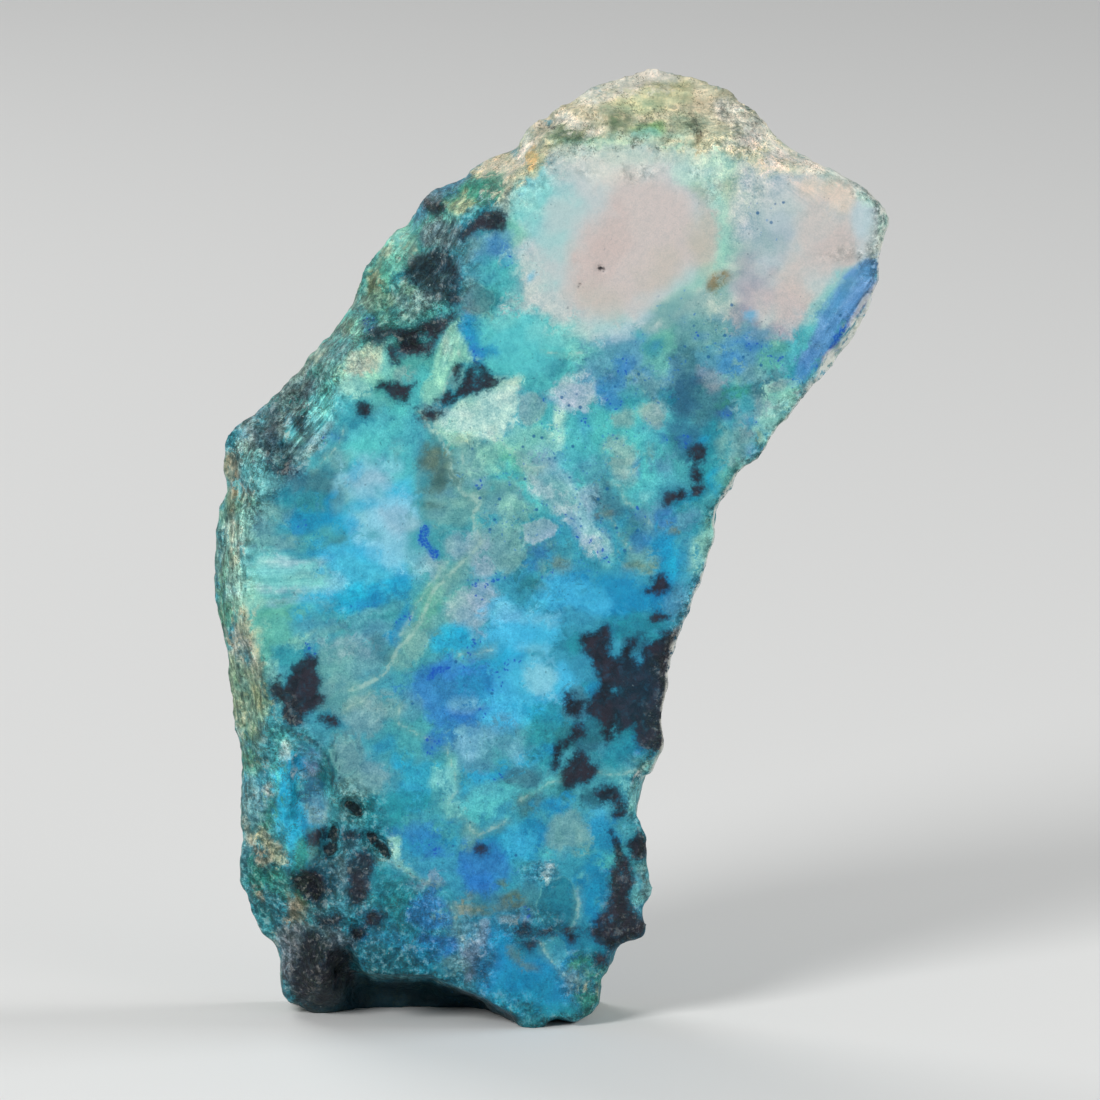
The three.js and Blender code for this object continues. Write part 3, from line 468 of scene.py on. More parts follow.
    ("slate", 0.8, 5, (400, 350, 9, 8)),
    ("grey", 0.6, 4, (405, 376, 10, 8), (432, 408, 9, 7)),
    ("turquoise", 0.8, 5, (420, 384, 12, 16, 20), (402, 412, 18, 7, 10)),
    ("mint", 0.9, 4, [(446, 330), (453, 322), (462, 336), (470, 352), (472, 364), (460, 364), (450, 376),
                      (440, 394), (432, 406), (424, 400), (422, 388), (430, 372), (436, 354)]),
    ("grey", 0.6, 3, (448, 346, 5, 14, -20)),
    ("grey teal", 0.85, 3, [(447, 390), (452, 377), (462, 369), (467, 376), (460, 388), (450, 394)]),
    ("dark teal", 0.6, 5, (478, 300, 20, 16)),
    ("grey teal", 0.75, 4, (478, 300, 16, 13)),
    ("umber", 0.35, 3, (478, 314, 14, 4, 5), (472, 305, 5, 3)),
    # left corner and edge
    ("grey", 0.9, 6, (262, 432, 30, 20, -30), (290, 396, 34, 14, -45), (272, 456, 20, 14)),
    ("aqua", 0.6, 6, (250, 470, 16, 22), (270, 478, 14, 14), (240, 540, 8, 20)),
    ("cyan", 0.45, 3, (259, 416, 5, 7), (239, 432, 7, 7), (287, 420, 4, 8)),
    ("druse", 0.6, 5, (273, 425, 8, 14), (256, 434, 5, 9), (302, 392, 18, 6, -48), (306, 430, 9, 12)),
    ("pearl", 0.35, 5, (292, 448, 9, 11), (305, 454, 20, 5, -36), (322, 436, 16, 4, -48)),
    ("teal", 0.5, 7, (262, 428, 10, 12)),
    ("turquoise", 0.5, 7, (330, 412, 12, 14, -40)),
    ("pale mint", 0.6, 5, (228, 560, 7, 26), (236, 520, 6, 18), (240, 440, 5, 16), (230, 474, 5, 14)),
    ("aqua", 0.6, 5, (325, 405, 10, 24, 42), (312, 424, 5, 20, 42), (262, 472, 10, 20)),
    ("mint", 0.75, 6, (244, 515, 12, 24), (236, 580, 10, 26), (238, 604, 8, 20)),
    ("umber", 0.65, 4, (232, 480, 6, 26, -5), (236, 490, 4, 20)),
    ("tan", 0.5, 3, (226, 462, 4, 20), (230, 500, 5, 18, 10), (242, 492, 3, 12)),
    ("sage", 0.6, 4, (224, 510, 6, 26), (216, 560, 5, 40)),
    ("cream", 0.65, 3, (231, 533, 8, 9), (232, 556, 7, 12), (243, 612, 4, 6)),
    ("mint", 0.5, 4, (244, 536, 8, 14), (225, 545, 5, 20), (238, 510, 4, 14)),
    ("azure", 0.6, 2, (235, 592, 4, 4)),
    ("fern", 0.4, 5, (222, 592, 5, 18), (226, 618, 8, 22)),
    ("pale mint", 0.5, 5, (236, 580, 8, 22)),
    ("moss", 0.6, 5, (220, 630, 7, 26), (222, 606, 5, 14)),
    ("mint", 0.6, 6, (258, 640, 8, 14), (280, 700, 6, 16, -10)),
    ("tan", 0.55, 4, (243, 640, 7, 26, -5), (236, 650, 6, 20), (252, 655, 6, 20, -10)),
    ("sage", 0.7, 5, (240, 690, 16, 22), (232, 672, 8, 16), (250, 715, 16, 24)),
    ("umber", 0.35, 4, (246, 672, 5, 14, -20), (262, 700, 5, 20, -15), (262, 735, 7, 10)),
    ("straw", 0.4, 4, (238, 712, 5, 24), (258, 700, 4, 18, -15), (256, 640, 4, 14)),
    ("moss", 0.45, 5, (250, 745, 10, 20), (262, 690, 8, 10)),
    ("fern", 0.35, 4, (250, 765, 10, 12), (262, 822, 8, 10)),
    ("umber", 0.5, 3, (264, 762, 8, 5)),
    ("steel", 0.5, 4, (262, 800, 8, 12)),
    ("grey teal", 0.65, 5, (252, 812, 12, 30), (240, 850, 5, 44)),
    ("cream", 0.45, 3, (270, 792, 5, 9), (247, 822, 2, 26)),
    ("dark teal", 0.6, 5, (262, 870, 16, 26), (270, 905, 14, 18)),
    ("malachite", 0.55, 5, (270, 812, 7, 14), (276, 880, 9, 12), (284, 895, 7, 14), (256, 880, 9, 14)),
    ("tan", 0.6, 3, (262, 840, 10, 8), (274, 848, 8, 7), (262, 858, 8, 7), (288, 905, 3, 14, -10),
     (260, 895, 7, 4, 30), (294, 915, 4, 14, -10)),
    ("straw", 0.5, 2, (264, 846, 7, 3, 20), (276, 858, 4, 6, -40), (256, 838, 4, 4)),
    ("umber", 0.55, 4, (300, 912, 7, 20), (302, 905, 6, 9), (270, 945, 12, 5, 35)),
    ("teal", 0.5, 4, (274, 926, 7, 8), (282, 912, 5, 12)),
    ("druse", 0.8, 5, (288, 960, 12, 34, -6), (300, 940, 10, 14)),
    ("plum", 0.7, 8, [(300, 944), (328, 936), (340, 946), (342, 970), (334, 992), (320, 1012), (300, 1014),
                      (290, 994), (292, 966)]),
    ("night", 0.5, 7, (300, 1006, 16, 10)),
    ("dusk", 0.4, 7, (350, 956, 10, 18, -10)),
]

# Fragments with a clear edge, painted the same way
CLASTS = [
    ("grey", (531, 408, 14, 16, 10), (651, 415, 11, 12), (777, 386, 12, 7, -25)),
    ("mist", [(523, 525), (548, 517), (558, 526), (556, 538), (536, 544), (528, 541)], [(552, 386),
                                                                                        (566, 381),
                                                                                        (590, 383),
                                                                                        (598, 390),
                                                                                        (594, 400),
                                                                                        (582, 408),
                                                                                        (566, 405),
                                                                                        (556, 396)]),
    ("pale mint", [(446, 428), (452, 410), (468, 394), (484, 388), (500, 384), (516, 388), (518, 402),
                   (508, 420), (502, 440), (490, 432), (470, 434)]),
    ("grey teal", [(487, 541), (506, 527), (517, 527), (524, 548), (529, 558), (508, 574), (492, 562)],
     (416, 645, 11, 16, 10), (345, 757, 14, 20)),
    ("deep", [(552, 881), (562, 878), (571, 881), (577, 890), (579, 904), (576, 918), (570, 929),
              (556, 930), (546, 925), (540, 912), (539, 898), (543, 887)]),
    ("lagoon", [(541, 946), (549, 938), (557, 937), (564, 944), (566, 953), (558, 967), (550, 961)]),
    ("aqua", [(634, 880), (638, 890), (644, 899), (643, 905), (636, 908), (631, 900), (632, 890)]),
    ("slate", [(462, 298), (468, 288), (480, 285), (492, 290), (497, 300), (490, 312), (478, 316),
               (466, 310)]),
]

# Dark tenorite with ragged edges
TENORITE = [
    # upper left
    [(483, 214), (497, 211), (506, 216), (507, 226), (500, 231), (490, 231), (483, 227), (471, 235),
     (462, 238), (460, 234), (474, 224)],
    [(424, 205), (438, 200), (446, 206), (445, 213), (434, 216), (428, 211)],
    [(446, 252), (452, 262), (456, 270), (461, 280), (456, 290), (444, 293), (432, 290), (420, 286),
     (409, 280), (405, 270), (409, 262), (420, 256), (434, 252)],
    [(446, 290), (456, 292), (458, 301), (450, 304), (446, 298)],
    [(414, 328), (424, 321), (436, 320), (445, 321), (446, 328), (438, 335), (433, 345), (428, 356),
     (421, 352), (412, 353), (404, 350), (398, 346), (392, 350), (397, 358), (399, 363), (393, 358),
     (387, 348), (372, 341), (366, 338), (374, 333), (384, 328), (394, 331), (404, 331)],
    [(378, 386), (385, 381), (393, 384), (402, 386), (414, 384), (410, 390), (407, 400), (400, 399),
     (391, 397), (387, 390)],
    (365, 411, 6, 6, 20), (431, 413, 7, 4, -10), (446, 397, 6, 5, -30), (457, 369, 3, 6, 20),
    [(463, 380), (469, 372), (474, 366), (482, 366), (490, 375), (497, 381), (492, 388), (483, 389),
     (474, 390), (465, 393), (457, 398), (451, 401), (449, 398), (457, 391)],
    (450, 318, 5, 3, -30), (302, 424, 5, 6, 20), (276, 446, 8, 2), (278, 469, 8, 2, 10), (269, 452, 2, 7),
    (286, 461, 2, 7, 20), (272, 424, 2, 7), (306, 388, 6, 2, -50),
    # left
    [(268, 685), (276, 681), (284, 686), (288, 676), (294, 668), (300, 662), (306, 656), (313, 657),
     (315, 664), (312, 671), (317, 682), (316, 692), (322, 699), (314, 707), (304, 711), (299, 721),
     (288, 722), (282, 714), (284, 702), (274, 699)],
    [(319, 716), (326, 713), (333, 717), (336, 725), (328, 724)],
    # lower left
    [(350, 860), (356, 855), (365, 853), (372, 858), (373, 868), (371, 880), (368, 892), (362, 903),
     (354, 905), (350, 896), (351, 880), (348, 870)],
    [(290, 873), (298, 876), (306, 870), (314, 871), (323, 879), (325, 890), (318, 900), (310, 896),
     (300, 892), (293, 888)],
    [(304, 838), (314, 830), (324, 830), (322, 838), (316, 842), (306, 842)],
    [(366, 915), (376, 912), (381, 918), (378, 926), (372, 930), (366, 926)],
    [(354, 928), (364, 930), (367, 939), (359, 942), (352, 937)],
    [(317, 918), (327, 920), (338, 912), (341, 919), (334, 926), (322, 928)],
    [(303, 937), (312, 930), (320, 935), (316, 946), (322, 955), (336, 952), (348, 958), (345, 968),
     (350, 974), (343, 984), (330, 988), (318, 984), (312, 994), (300, 996), (297, 984), (300, 966),
     (305, 950)],
    (351, 835, 6, 3),
    # right flank
    [(646, 590), (652, 584), (656, 577), (662, 575), (667, 580), (668, 586), (672, 589), (664, 592),
     (660, 594), (652, 591)],
    [(666, 501), (671, 494), (680, 490), (685, 493), (682, 499), (674, 503), (669, 506)],
    [(652, 619), (657, 614), (664, 612), (669, 615), (664, 620), (659, 624), (653, 623)],
    [(690, 451), (697, 446), (706, 449), (704, 456), (699, 463), (694, 462), (690, 457)],
    [(690, 488), (697, 484), (703, 488), (700, 494), (692, 495)],
    (697, 475, 4, 7),
    # great mass
    [(580, 641), (584, 636), (594, 635), (602, 632), (606, 627), (610, 628), (609, 640), (608, 656),
     (614, 661), (622, 660), (624, 651), (627, 644), (639, 640), (635, 646), (632, 652), (633, 664),
     (638, 663), (644, 655), (648, 645), (655, 640), (664, 633), (672, 634), (682, 630), (678, 642),
     (674, 652), (672, 664), (670, 680), (668, 700), (668, 740), (664, 751), (655, 752), (645, 748),
     (638, 742), (634, 735), (632, 726), (627, 728), (621, 736), (618, 732), (619, 724), (614, 726),
     (612, 734), (612, 741), (607, 742), (602, 733), (606, 727), (600, 723), (594, 716), (589, 712),
     (589, 705), (593, 699), (600, 688), (598, 676), (594, 668), (592, 660), (586, 652)],
    [(565, 697), (572, 696), (576, 700), (583, 701), (586, 706), (581, 714), (573, 712), (566, 706)],
    [(578, 724), (585, 727), (584, 733), (577, 737), (572, 742), (568, 747), (564, 743), (570, 736),
     (574, 730)],
    [(555, 746), (560, 741), (562, 748), (561, 756), (557, 765), (553, 770), (551, 764), (553, 755)],
    [(566, 765), (572, 757), (580, 752), (586, 754), (588, 762), (596, 765), (600, 770), (597, 775),
     (588, 778), (580, 782), (572, 786), (566, 788), (561, 784), (562, 776)],
    # lower right
    [(596, 791), (603, 790), (608, 786), (614, 784), (617, 790), (620, 797), (624, 803), (620, 806),
     (612, 800), (604, 798)],
    [(613, 808), (622, 806), (624, 812), (618, 818), (612, 814)],
    [(632, 838), (640, 833), (648, 838), (650, 846), (647, 856), (640, 858), (633, 852), (628, 848),
     (629, 841)],
    [(612, 828), (616, 836), (620, 845), (622, 855), (629, 862), (632, 872), (631, 884), (629, 896),
     (630, 908), (636, 916), (645, 924), (641, 936), (630, 940), (618, 943), (611, 950), (603, 948),
     (597, 944), (594, 938), (588, 931), (594, 926), (596, 919), (601, 914), (608, 912), (613, 906),
     (609, 899), (612, 890), (607, 882), (611, 870), (616, 860), (614, 848)],
    [(592, 956), (598, 954), (604, 958), (604, 966), (599, 970), (594, 965)],
    (570, 937, 5, 4), (569, 930, 6, 2, 10), (525, 931, 5, 5, -30), (530, 945, 5, 3), (542, 932, 9, 2, -5),
    (480, 850, 4, 3),
]

# Gaps in the tenorite where blue shows through
WINDOWS = [
    (612, 644, 5, 8), (640, 662, 5, 8, 20), (616, 692, 6, 4, 30), (592, 762, 5, 4), (424, 338, 8, 6, 30),
    (392, 340, 8, 7), (478, 373, 7, 5, 10), (477, 383, 5, 3), (442, 277, 8, 6), (622, 876, 3, 5),
    (612, 918, 4, 3),
]

# Open pockets and cracks, painted darker still as the shade inside them
POCKETS = [
    [(342, 802), (350, 800), (358, 804), (362, 813), (358, 818), (351, 812), (344, 808)],
    [(324, 838), (331, 829), (336, 822), (338, 834), (336, 843), (329, 843)],
    [(320, 846), (334, 843), (338, 850), (331, 856), (326, 862), (322, 854)],
    [(363, 832), (368, 831), (376, 838), (384, 846), (388, 856), (386, 861), (380, 854), (374, 846),
     (366, 840)],
    (359, 937, 5, 4), (316, 893, 5, 7), (269, 937, 8, 1, 10), (601, 269, 4.6, 3.4, 20),
    (581, 285, 2, 3, 30), (697, 132, 2, 6, -10), (633, 146, 2, 3), (552, 131, 3, 2),
]

# The hollow under the foot, painted dark as the shade inside it
SHADED_HOLLOW = [(352, 972), (372, 979), (440, 982), (470, 992), (490, 1002), (520, 1018), (520, 1040), (330, 1040),
          (296, 1012), (320, 992)]

# Azurite, deep blue
AZURITE = [
    [(418, 531), (424, 527), (430, 529), (428, 535), (426, 541), (431, 546), (437, 550), (441, 556),
     (438, 560), (431, 557), (424, 550), (419, 546), (417, 538)],
    [(426, 677), (432, 671), (440, 669), (447, 664), (450, 668), (444, 673), (438, 679), (431, 681)],
    [(878, 283), (877, 286), (862, 307), (846, 328), (831, 349), (816, 367), (814, 366), (829, 346),
     (845, 325), (861, 304)],
]

# Clusters of small azurite grains, as ovals
CLUSTERS = [
    (485, 710, 5, 3, -20), (430, 750, 4, 3), (432, 741, 3, 6, 20), (497, 686, 5, 3), (504, 672, 4, 2, -20),
    (513, 661, 3, 1, -20), (473, 647, 1.5, 6, 20), (478, 583, 4, 2, 30), (484, 591, 2, 4, 20),
    (492, 579, 4, 2), (604, 551, 4, 4), (606, 559, 3, 4), (624, 372, 4, 9, 5), (601, 390, 3, 2),
    (369, 325, 5, 5), (331, 437, 5, 2, -5), (685, 440, 5, 5), (662, 438, 3, 3), (728, 415, 4, 4),
    (754, 423, 3, 2), (753, 450, 4, 3), (586, 429, 3, 4), (582, 418, 3, 5), (547, 398, 3, 2),
    (480, 485, 3, 2), (552, 577, 3, 2), (587, 538, 2, 2), (575, 518, 4, 1.5, 40), (577, 531, 4, 1.5, 40),
    (747, 342, 4, 1.5, 10), (756, 347, 5, 1.5, 20), (778, 356, 5, 3), (794, 381, 3, 2), (654, 346, 2, 2),
    (700, 337, 3, 2), (501, 777, 3, 2), (614, 403, 6, 3, 20), (508, 263, 3, 3), (476, 352, 4, 4),
    (298, 525, 4, 3, -40), (365, 604, 8, 2), (308, 650, 3, 5), (403, 620, 3, 6, 30), (436, 847, 5, 3, 20),
    (527, 915, 5, 5), (501, 965, 2, 2), (637, 515, 3, 4, -40),
]

# Pale veins as a half width and then points
VEINS = [
    (1.8, (422, 408), (432, 426), (441, 437), (447, 448), (451, 462), (455, 478), (463, 490), (475, 499),
     (478, 508), (474, 520), (478, 536), (479, 546), (472, 558), (462, 564), (450, 574), (440, 585),
     (430, 600), (424, 614), (416, 630), (405, 642), (396, 655), (388, 668), (374, 680), (350, 690)),
    (1.0, (436, 412), (437, 426), (444, 440)),
    (2.2, (477, 496), (479, 504), (476, 512)),
    (0.8, (450, 560), (432, 582), (414, 612), (398, 640)),
    (0.9, (490, 424), (500, 440), (516, 452), (524, 466)),
    (1.1, (524, 466), (534, 468), (548, 465)),
    (1.1, (612, 481), (621, 486), (626, 497), (634, 508), (643, 519), (649, 526)),
    (1.1, (638, 413), (648, 408)),
    (1.2, (466, 818), (470, 828), (476, 835), (486, 833), (496, 827), (508, 822)),
    (0.9, (446, 745), (455, 768), (458, 790), (450, 802)),
    (1.0, (450, 905), (456, 920), (460, 934), (464, 946)),
    (1.0, (376, 858), (390, 863), (402, 872), (414, 879), (424, 881), (440, 882)),
    (1.0, (541, 348), (560, 354), (584, 352)),
    (0.9, (578, 888), (580, 904), (577, 918), (571, 930)),
    (0.9, (540, 945), (552, 962), (565, 976), (572, 966)),
    (1.0, (602, 774), (620, 773), (634, 769), (646, 764)),
    (1.1, (449, 326), (456, 342), (459, 356)),
    (1.1, (440, 398), (447, 382), (455, 368)),
    (0.9, (310, 470), (324, 462), (338, 446), (344, 428)),
    (0.9, (300, 392), (316, 374), (330, 362)),
    (0.8, (284, 380), (304, 366), (326, 346)),
    (0.9, (458, 656), (480, 652), (494, 650)),
    (0.9, (520, 800), (540, 788), (560, 782)),
    (0.9, (580, 829), (583, 842)),
    (0.9, (604, 512), (622, 540), (632, 548)),
    (0.9, (460, 440), (466, 470), (484, 490)),
    (0.8, (346, 710), (362, 700), (372, 690)),
    (0.8, (400, 706), (396, 722), (410, 730), (430, 740)),
]

# Dark hairlines, and a painted shadow line under a ledge
HAIRLINES_AND_LEDGE_SHADOWS = [
    (1.0, (495, 382), (506, 376), (520, 377), (536, 376)),
    # painted shadow that the edge of the face casts into the top of the scoop
    (1.6, (288, 724), (297, 733), (308, 738), (319, 746), (327, 757), (331, 770), (333, 784)),
    (0.9, (388, 862), (406, 874), (424, 882)),
    (0.8, (400, 402), (412, 402), (420, 410)),
    (0.9, (533, 933), (552, 930), (566, 929)),
    (0.8, (690, 541), (695, 539)),
    (0.8, (424, 410), (418, 404)),
    (0.9, (336, 796), (340, 776), (336, 752)),
    (0.8, (460, 805), (468, 818), (474, 828)),
    (0.3, (612, 240), (604, 252)),
    (0.9, (592, 500), (600, 506), (608, 514)),
    (0.7, (577, 585), (587, 583)),
    (0.8, (400, 402), (394, 398)),
]

# Where dots of azurite lie, where the stone is calm and where the rind is smooth. An oval in a list of
# amounts always has its turn, and then its amount.
SPECKLED = [
    (640, 370, 60, 50, 0, 0.8), (740, 350, 50, 24, 10, 0.8), (590, 420, 60, 60, 0, 0.8),
    (540, 480, 90, 80, 0, 0.75), (700, 320, 50, 40, 0, 0.4), (775, 218, 40, 26, 0, 0.45),
    (600, 530, 60, 50, 0, 0.7), (450, 690, 60, 50, 0, 0.4), (490, 860, 50, 40, 0, 0.4),
    (850, 300, 40, 40, 0, 0.4), (500, 960, 90, 60, 0, 0.3), (420, 800, 50, 60, 0, 0.2),
]
CALM = [
    (625, 245, 120, 112, 0, 0.95), (820, 235, 76, 80, 0, 0.9), (775, 280, 66, 60, 0, 0.8),
    (655, 105, 130, 50, 0, 0.6), (380, 510, 70, 80, 0, 0.55), (540, 660, 60, 50, 0, 0.5),
    (520, 345, 50, 34, 0, 0.6), (610, 595, 50, 26, 0, 0.5), (280, 590, 60, 50, 0, 0.4),
    (630, 680, 40, 60, 0, 0.3),
]
SMOOTH_RIND = [
    (640, 88, 130, 34, 0, 0.85), (620, 156, 110, 20, 0, 0.85), (640, 130, 120, 20, 0, 0.6),
    (520, 150, 60, 40, -30, 0.75), (800, 165, 80, 40, 30, 0.8), (850, 340, 24, 90, 45, 0.75),
    (400, 250, 30, 40, 30, 0.45), (478, 190, 30, 20, 0, 0.35), (306, 800, 40, 80, 0, 0.8),
]

# Parts of the face that lie lower, or higher where the depth is negative: the depth in millimetres, the
# width of the edge and the shape
LEDGES = [
    (0.45, 5, [(362, 832), (376, 845), (388, 860), (402, 871), (416, 880), (432, 884), (450, 884),
               (454, 905), (462, 940), (470, 985), (340, 985), (300, 900), (320, 840)]),
    (0.25, 4, [(600, 470), (612, 481), (621, 486), (626, 497), (634, 508), (643, 519), (649, 526),
               (634, 530), (604, 520), (590, 492)]),
    (0.22, 4, [(466, 818), (470, 828), (476, 835), (486, 833), (496, 827), (508, 822), (520, 840),
               (500, 880), (470, 884), (455, 860)]),
    (0.18, 5, [(446, 745), (455, 768), (458, 790), (450, 802), (466, 818), (480, 800), (478, 760),
               (460, 740)]),
    (-0.18, 5, [(552, 881), (562, 878), (571, 881), (577, 890), (579, 904), (576, 918), (570, 929),
                (556, 930), (546, 925), (540, 912), (539, 898), (543, 887)]),
    (-0.15, 5, [(541, 946), (549, 938), (557, 937), (564, 944), (566, 953), (558, 967), (550, 961)]),
    (0.3, 6, (276, 455, 12, 16, 10)),
    (0.2, 6, (365, 411, 7, 8)),
    (0.25, 6, [(414, 328), (445, 321), (433, 345), (421, 356), (398, 350), (372, 341), (394, 331)]),
    (0.3, 4, (601, 269, 4, 3, 20)),
]

# Amounts again: where the face is broken rather than polished, and where crystals glitter
BROKEN = [
    (390, 930, 76, 60, 0, 0.9), (300, 420, 44, 34, -40, 0.8), (255, 470, 34, 60, 0, 0.8),
    (440, 240, 40, 34, 0, 0.7), (420, 320, 50, 40, 0, 0.6), (470, 955, 30, 50, 0, 0.8),
    (530, 925, 40, 24, 0, 0.7), (540, 872, 24, 14, 0, 0.7), (345, 840, 50, 60, 0, 0.8),
    (580, 975, 30, 30, 0, 0.7), (620, 900, 24, 60, 0, 0.5), (500, 1005, 50, 16, 0, 0.4),
]
GLITTER = [
    (255, 445, 36, 36, 0, 0.8), (300, 400, 44, 22, -45, 0.9), (440, 235, 22, 26, 0, 0.8),
    (250, 505, 14, 30, 0, 0.8), (740, 115, 34, 24, 30, 0.5), (470, 950, 24, 44, 0, 0.3),
    (395, 952, 56, 26, 0, 0.3), (315, 785, 24, 28, 0, 0.15), (270, 860, 24, 50, 0, 0.3),
    (715, 190, 12, 22, 0, 0.4), (545, 872, 16, 10, 0, 0.45), (430, 285, 36, 40, 0, 0.8),
    (310, 950, 40, 60, 0, 0.4), (640, 700, 30, 50, 0, 0.15), (375, 860, 60, 30, 30, 0.25),
    (500, 930, 30, 20, 0, 0.35), (525, 935, 16, 14, 0, 0.5), (880, 222, 10, 30, 0, 0.5),
    (350, 350, 30, 50, 40, 0.6), (232, 560, 16, 60, 0, 0.5), (260, 780, 18, 70, 0, 0.25),
    (690, 125, 30, 14, 0, 0.35), (580, 132, 40, 12, 10, 0.3), (590, 1000, 16, 20, 0, 0.5),
    (860, 320, 14, 60, 40, 0.3),
]

# Fibrous zones: an oval, then which way the fibres run, in degrees, and how strongly
FIBRES = [
    (285, 580, 60, 34, 0, -2, 0.8), (355, 598, 60, 24, -12, -12, 0.7), (450, 362, 34, 26, 107, 112, 0.9),
    (578, 505, 60, 26, 55, 56, 0.8), (310, 420, 44, 24, -48, -50, 1.0), (232, 560, 20, 130, 0, 88, 0.7),
    (835, 325, 66, 24, -55, -55, 0.8), (250, 740, 26, 120, 0, 84, 0.6), (340, 340, 60, 26, -48, -48, 0.6),
    (400, 240, 30, 40, 35, -55, 0.7), (440, 250, 34, 60, 20, -60, 0.7), (260, 440, 30, 60, 0, -70, 0.6),
    (640, 112, 150, 40, 0, 4, 0.5), (800, 170, 60, 40, 0, 35, 0.6), (365, 370, 30, 30, 0, 60, 0.4),
    (490, 790, 60, 26, -15, -18, 0.4), (380, 500, 60, 70, 0, -38, 0.5), (640, 235, 70, 60, 0, -50, 0.15),
    (645, 470, 24, 50, 0, 88, 0.4), (300, 500, 50, 40, 0, 75, 0.3), (745, 375, 30, 20, 0, -50, 0.5),
]


def to_linear(code):
    """A colour given as hexadecimal display values, as linear values without the sheen of the polish."""
    display = [int(code[i:i + 2], 16) / 255 for i in (0, 2, 4)]
    linear = np.array([c / 12.92 if c < 0.04045 else ((c + 0.055) / 1.055) ** 2.4 for c in display])
    return np.maximum(linear - SHEEN, DARKEST)


def smoothstep(low, high, value):
    share = np.clip((value - low) / (high - low), 0, 1)
    return share * share * (3 - 2 * share)


def lattice_value(cells, seed):
    """Repeatable pseudo-random numbers from 0 to 1 for whole-number cells."""
    i, j, k = (cells[:, axis].astype(np.int64) for axis in range(3))
    mixed = (i * 73856093) ^ (j * 19349663) ^ (k * 83492791) ^ (seed * 2654435761)
    mixed = (mixed ^ (mixed >> 13)) * 1274126177 & 0xFFFFFFFF
    mixed = (mixed ^ (mixed >> 16)) & 0xFFFF
    return mixed / 65535


def noise(points, size, seed):
    """Smooth noise from -1 to 1 over points, with bumps of about the given size."""
    scaled = points / size
    base = np.floor(scaled)
    share = scaled - base
    share = share * share * (3 - 2 * share)
    total = np.zeros(len(points))
    for corner in np.ndindex(2, 2, 2):
        weight = np.ones(len(points))
        for axis in range(3):
            weight *= share[:, axis] if corner[axis] else 1 - share[:, axis]
        total += weight * lattice_value(base + corner, seed)
    return 2 * total - 1


def fractal(points, size, seed, octaves=3):
    """Noise with ever smaller bumps laid over the large ones."""
    layers = [noise(points, size / 2 ** n, seed + n) / 2 ** n for n in range(octaves)]
    return sum(layers) / sum(1 / 2 ** n for n in range(octaves))


# Shapes on the sheet

def oval_reach(x, y, centre_x, centre_y, half_width, half_height, turn=0):
    """How far points lie from the middle of a turned oval, as a share of its size."""
    angle = math.radians(turn)
    across = (x - centre_x) * math.cos(angle) + (y - centre_y) * math.sin(angle)
    along = (y - centre_y) * math.cos(angle) - (x - centre_x) * math.sin(angle)
    return np.hypot(across / half_width, along / half_height)


def away_from_line(x, y, start, end):
    """How far points lie from a straight stretch between two points."""
    run_x, run_y = end[0] - start[0], end[1] - start[1]
    share = ((x - start[0]) * run_x + (y - start[1]) * run_y) / (run_x ** 2 + run_y ** 2)
    share = np.clip(share, 0, 1)
    return np.hypot(x - start[0] - share * run_x, y - start[1] - share * run_y)


def outline_margin(x, y, outline):
    """How deep points lie inside a closed outline, in sheet units; negative outside."""
    away = np.full(len(x), np.inf)
    inside = np.zeros(len(x), dtype=bool)
    for start, end in zip(outline, outline[1:] + outline[:1]):
        away = np.minimum(away, away_from_line(x, y, start, end))
        if start[1] != end[1]:
            crossing = start[0] + (y - start[1]) * (end[0] - start[0]) / (end[1] - start[1])
            inside ^= ((start[1] > y) != (end[1] > y)) & (x < crossing)
    return np.where(inside, away, -away)


def shape_margin(x, y, shape):
    """How deep points lie inside an oval or an outline, in sheet units; negative outside."""
    margin = np.full(len(x), -FAR)
    if isinstance(shape, list):
        corners = np.array(shape, dtype=float)
        middle = (corners.min(axis=0) + corners.max(axis=0)) / 2
        extent = np.ptp(corners, axis=0) / 2
    else:
        middle = shape[:2]
        extent = np.full(2, max(shape[2:4]))
    near = (np.abs(x - middle[0]) < extent[0] + FAR) & (np.abs(y - middle[1]) < extent[1] + FAR)
    if isinstance(shape, list):
        margin[near] = outline_margin(x[near], y[near], shape)
    else:
        margin[near] = (1 - oval_reach(x[near], y[near], *shape)) * min(shape[2:4])
    return margin


def patch_margin(x, y, shapes):
    """How deep points lie inside the nearest of several shapes, in sheet units."""
    margin = np.full(len(x), -FAR)
    for shape in shapes:
        margin = np.maximum(margin, shape_margin(x, y, shape))
    return margin


def line_margin(x, y, lines):
    """How deep points lie inside the nearest of several drawn lines, in sheet units."""
    margin = np.full(len(x), -FAR)
    for half_width, *points in lines:
        for start, end in zip(points, points[1:]):
            margin = np.maximum(margin, half_width - away_from_line(x, y, start, end))
    return margin


def amount(x, y, ovals):
    """The strongest of several soft ovals at each point."""
    most = np.zeros(len(x))
    for *oval, strength in ovals:
        most = np.maximum(most, strength * smoothstep(*OVAL_FADE, oval_reach(x, y, *oval)))
    return most


def sheet_place(points):
    """Where points of the stone lie on the sheet."""
    depth = points[:, 1] - CAD_LOW[1]
    rise = points[:, 2] * math.cos(VIEW_TILT) + depth * math.sin(VIEW_TILT)
    return SHEET_CENTRE_X + points[:, 0] / UNIT, SHEET_FLOOR_Y - rise / UNIT


TOWARDS_CAMERA = np.array((0, -math.cos(VIEW_TILT), math.sin(VIEW_TILT)))


# The camera and the room

